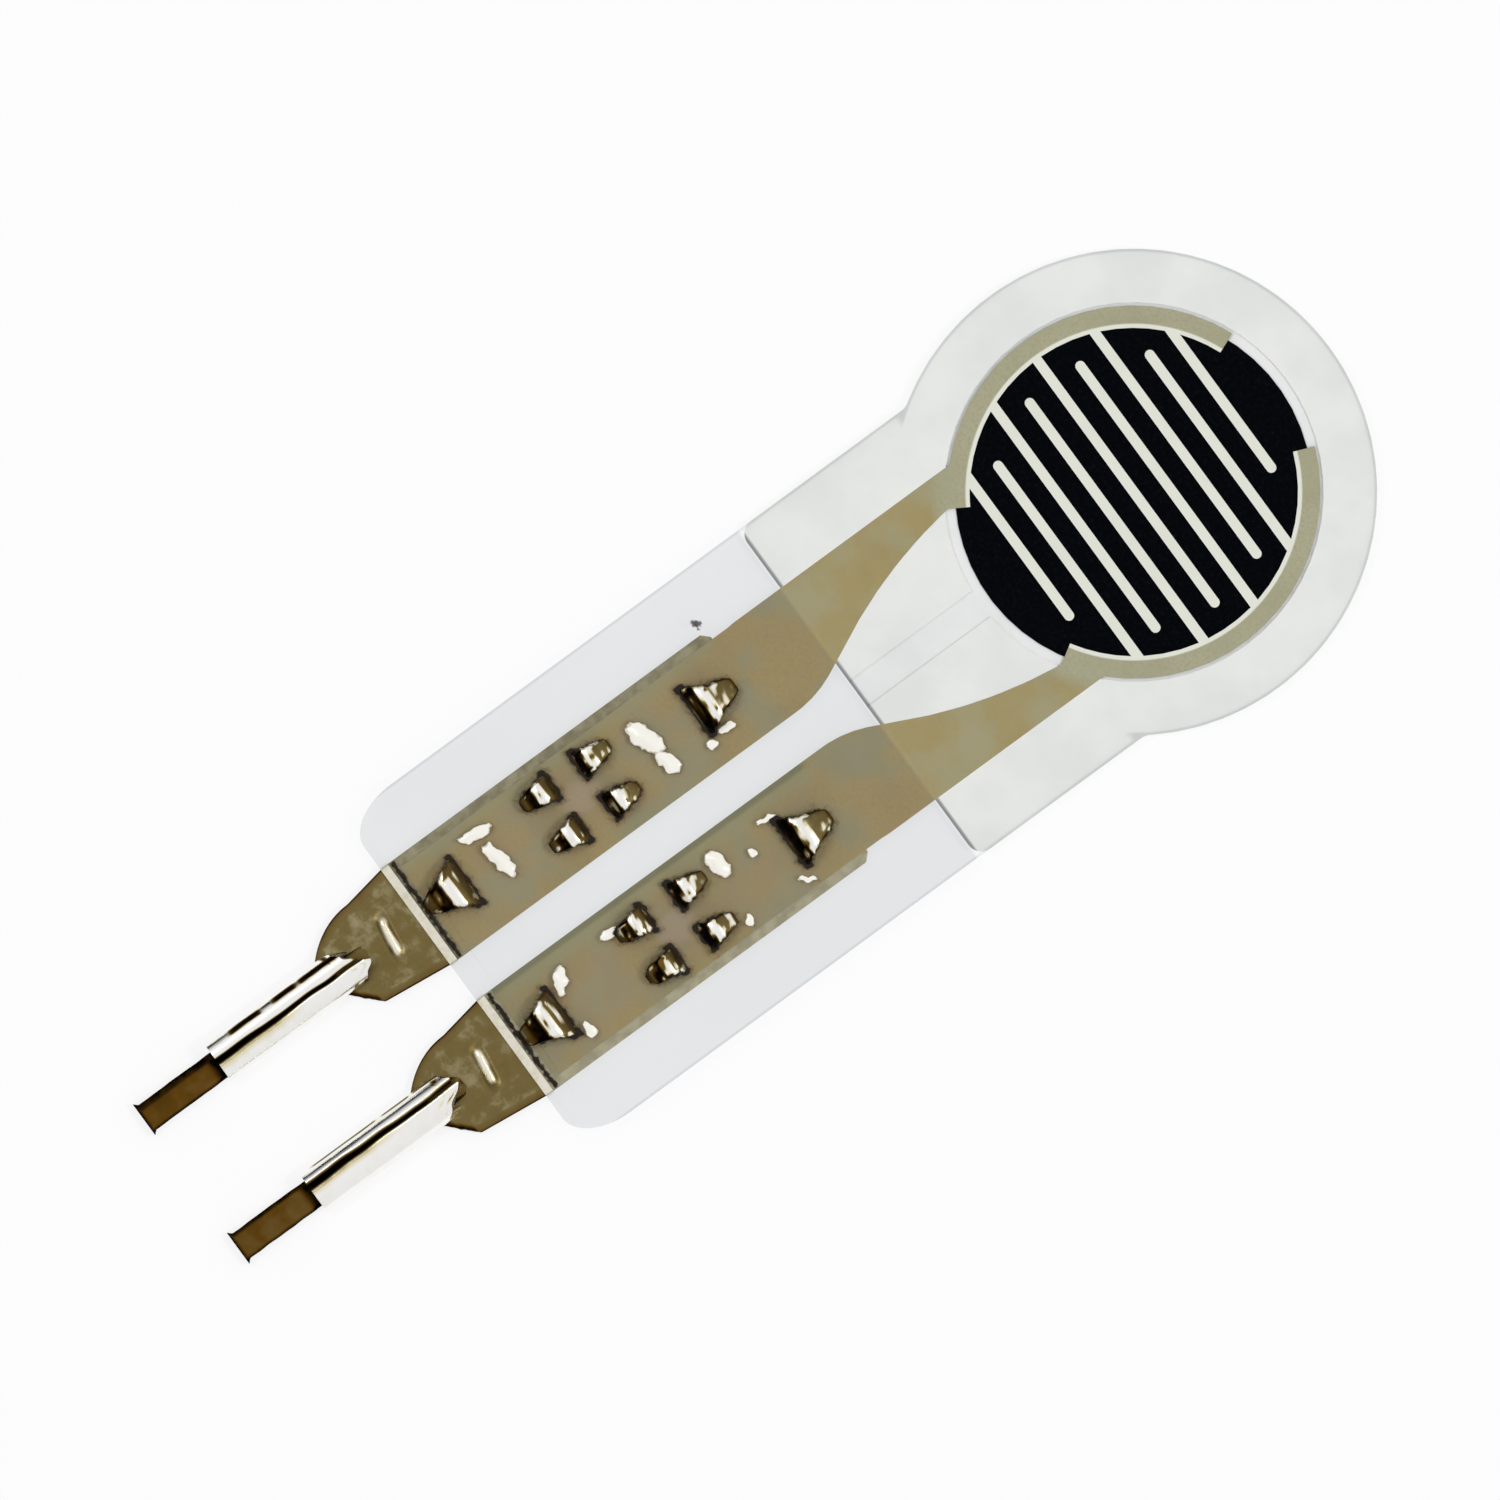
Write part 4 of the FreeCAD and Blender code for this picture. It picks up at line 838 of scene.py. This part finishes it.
def slitShadeAt(x, y):
    # Painted shade: in the cut along each lance's root and down its sides, close round its tip, and in a
    # faint halo round it
    deepest = 0.0
    for lance, across, direction in listLances():
        along = (y - crimp["centre"]) * direction - lance["root"]
        sideways = abs(x - across) - lance["width"] / 2
        ragged = 0.05 * noise.noise(Vector((x * 8, y * 8, direction)))
        fromRoot = math.hypot(max(0.0, sideways), max(0.0, abs(along - 0.04) - 0.03)) + ragged
        deepest = max(deepest, 1.0 - blend(fromRoot, 0.0, 0.08))
        reach = lanceReach(lance)
        half = lanceHalf(lance, min(1.0, max(0.0, along / reach)))
        fromTip = math.hypot(max(0.0, abs(x - across) - half), max(0.0, -along, along - reach))
        deepest = max(deepest, 0.6 * (1.0 - blend(fromTip + ragged * 0.5, 0.01, 0.07)))
        deepest = max(deepest, 0.24 * (1.0 - blend(min(fromRoot, fromTip) + ragged, 0.02, 0.20)))
    return deepest


def makeFilm():
    outline = filmOutline()
    vertices, faces, faceMaterials, strainWhiteAndGlint, slitShade = [], [], [], [], []

    def addPoints(points):
        start = len(vertices)
        vertices.extend(points)
        strainWhiteAndGlint.extend([0.0] * len(points))
        slitShade.extend([0.0] * len(points))
        return start

    def addFlat(loops, heightAt, material, upwards):
        start = addPoints([(x, y, heightAt(y)) for loop in loops for x, y in loop])
        for a, b, c in fillLoops(loops, upwards):
            faces.append((start + a, start + b, start + c))
            faceMaterials.append(material)

    columns = round(film["patchHalf"] * 2 / film["cell"])
    rows = round((film["patchHead"] - film["patchTail"]) / film["cell"])
    holes = []
    for side in (-1, 1):
        xs = [side * pinPitch / 2 + x for x in spread(-film["patchHalf"], film["patchHalf"], columns + 1)]
        ys = spread(film["patchTail"], film["patchHead"], rows + 1)
        start = len(vertices)
        for y in ys:
            for x in xs:
                height, white = puckerAt(side, x - side * pinPitch / 2, y)
                vertices.append((x, y, film["high"] + height))
                strainWhiteAndGlint.append(white)
                slitShade.append(slitShadeAt(x - side * pinPitch / 2, y))
        for row in range(rows):
            for column in range(columns):
                near = start + row * (columns + 1) + column
                faces.append((near, near + 1, near + columns + 2, near + columns + 1))
                faceMaterials.append(0)
        holes.append([(x, ys[0]) for x in xs] + [(xs[-1], y) for y in ys[1:]]
                     + [(x, ys[-1]) for x in xs[-2::-1]] + [(xs[0], y) for y in ys[-2:0:-1]])
    addFlat([[point for point in outline if point[1] >= film["bevelStart"]]] + holes, filmTop, 0, True)
    addFlat([[point for point in outline if point[1] <= film["bevelStart"]]], filmTop, 1, True)
    addFlat([outline], lambda y: film["low"], 0, False)
    count = len(outline)
    start = addPoints([(x, y, film["low"]) for x, y in outline] + [(x, y, filmTop(y)) for x, y in outline])
    for index in range(count):
        following = (index + 1) % count
        faces.append((start + index, start + following, start + count + following, start + count + index))
        faceMaterials.append(0)
    piece = makePiece("clearElectrodeFilm", vertices, faces, [clearPolyester, shearedEdge],
                      {"strainWhiteAndGlint": strainWhiteAndGlint, "slitShade": slitShade}, faceMaterials)
    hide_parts("electrode_film")


makeFilm()
print("clear film made")


# CAD pieces that stay as they are

keptPieces = {"rear_adhesive": milkyAdhesive, "resistive_film": fillerFilm, "spacer_adhesive": milkyAdhesive,
              "resistive_carbon": carbonInk, "left_electrode": silverInk, "right_electrode": silverInk}
for nodeName, finish in keptPieces.items():
    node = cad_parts[nodeName]
    node.data.materials.clear()
    node.data.materials.append(finish)
print("layers dressed")


# Floor, light and camera

def makeFloor():
    # White paper, which shows mostly plain white and keeps a faint shadow
    look = {"half": 300, "below": 0.004, "colour": "#fbfbfb", "plainWhite": 0.8}
    edge, level = look["half"] * mm, -look["below"] * mm
    corners = [(-edge, -edge, level), (edge, -edge, level), (edge, edge, level), (-edge, edge, level)]
    mesh = bpy.data.meshes.new("floor")
    mesh.from_pydata(corners, [], [(0, 1, 2, 3)])
    floor = bpy.data.objects.new("floor", mesh)
    bpy.context.scene.collection.objects.link(floor)
    material = bpy.data.materials.new("whitePaper")
    material.use_nodes = True
    tree = material.node_tree
    tree.nodes.clear()
    paper = addNode(tree, "BsdfDiffuse", {}, {"Color": linearColour(look["colour"])})
    white = addNode(tree, "Emission", {}, {"Color": (1, 1, 1, 1), "Strength": 1.0})
    path = addNode(tree, "LightPath", {}, {})
    seen = path["Is Camera Ray"]
    for kind in ("Is Glossy Ray", "Is Transmission Ray"):
        seen = addNode(tree, "Math", {"operation": "MAXIMUM"}, {0: seen, 1: path[kind]})["Value"]
    share = addNode(tree, "Math", {"operation": "MULTIPLY"}, {0: seen, 1: look["plainWhite"]})["Value"]
    mixed = addNode(tree, "MixShader", {}, {0: share, 1: paper["BSDF"], 2: white["Emission"]})
    addNode(tree, "OutputMaterial", {}, {"Surface": mixed["Shader"]})
    mesh.materials.append(material)


def makeStudio():
    # A white studio that lights the part evenly, and that metal shows as bright overhead and on the
    # head's side, with a dark wall on the tail's -X side. The camera sees it plain white.
    look = {"overhead": 0.84, "brightWall": 0.84, "darkWall": 0.016, "even": 0.588,
            "towards": (0.75, 0.45, 0.0), "wallEdge": (-0.25, 0.30), "wallTop": (0.20, 0.72)}
    world = bpy.data.worlds.new("studio")
    bpy.context.scene.world = world
    world.use_nodes = True
    tree = world.node_tree
    tree.nodes.clear()
    direction = addNode(tree, "TexCoord", {}, {})["Generated"]
    axes = addNode(tree, "SeparateXYZ", {}, {0: direction})
    sideways = addNode(tree, "VectorMath", {"operation": "DOT_PRODUCT"},
                       {0: direction, 1: look["towards"]})["Value"]
    walls = addNode(tree, "MapRange", smooth, {
        "Value": sideways, "From Min": look["wallEdge"][0], "From Max": look["wallEdge"][1],
        "To Min": look["darkWall"], "To Max": look["brightWall"]})["Result"]
    height = addNode(tree, "MapRange", smooth, {"Value": axes["Z"], "From Min": look["wallTop"][0],
                                                "From Max": look["wallTop"][1]})["Result"]
    strength = addNode(tree, "Mix", {}, {0: height, 2: walls, 3: look["overhead"]})[0]
    path = addNode(tree, "LightPath", {}, {})
    strength = addNode(tree, "Mix", {}, {0: path["Is Glossy Ray"], 2: look["even"], 3: strength})[0]
    strength = addNode(tree, "Mix", {}, {0: path["Is Camera Ray"], 2: strength, 3: 1.0})[0]
    background = addNode(tree, "Background", {}, {"Color": (1, 1, 1, 1), "Strength": strength})
    addNode(tree, "OutputWorld", {}, {"Surface": background["Background"]})
    # Each lamp: its place, its width and its power in watts, aimed at the middle of the part
    lamps = {"keySoftbox": ((45, 55, 125), 30, 0.05), "fillSoftbox": ((-50, -40, 125), 40, 0.03)}
    aim = Vector((0, -8 * mm, 0))
    for name, (place, width, power) in lamps.items():
        lamp = bpy.data.lights.new(name, "AREA")
        lamp.shape = "DISK"
        lamp.size = width * mm
        lamp.energy = power
        softbox = bpy.data.objects.new(name, lamp)
        softbox.location = Vector(place) * mm
        softbox.rotation_mode = "QUATERNION"
        softbox.rotation_quaternion = (softbox.location - aim).to_track_quat("Z", "Y")
        bpy.context.scene.collection.objects.link(softbox)


def makeCamera():
    # Straight down on the part, turned as the photograph is
    look = {"centre": (-0.29, -7.23), "height": 80, "frameWidth": 23.47, "turn": 53.8}
    camera = bpy.data.objects.new("camera", bpy.data.cameras.new("camera"))
    camera.data.type = "ORTHO"
    camera.data.ortho_scale = look["frameWidth"] * mm
    camera.data.clip_start = 1 * mm
    camera.data.clip_end = 1.0
    camera.location = (look["centre"][0] * mm, look["centre"][1] * mm, look["height"] * mm)
    camera.rotation_euler = (0, 0, math.radians(look["turn"]))
    bpy.context.scene.collection.objects.link(camera)
    bpy.context.scene.camera = camera


makeFloor()
makeStudio()
makeCamera()
bpy.context.scene.view_settings.view_transform = "Standard"
print("floor, light and camera placed")
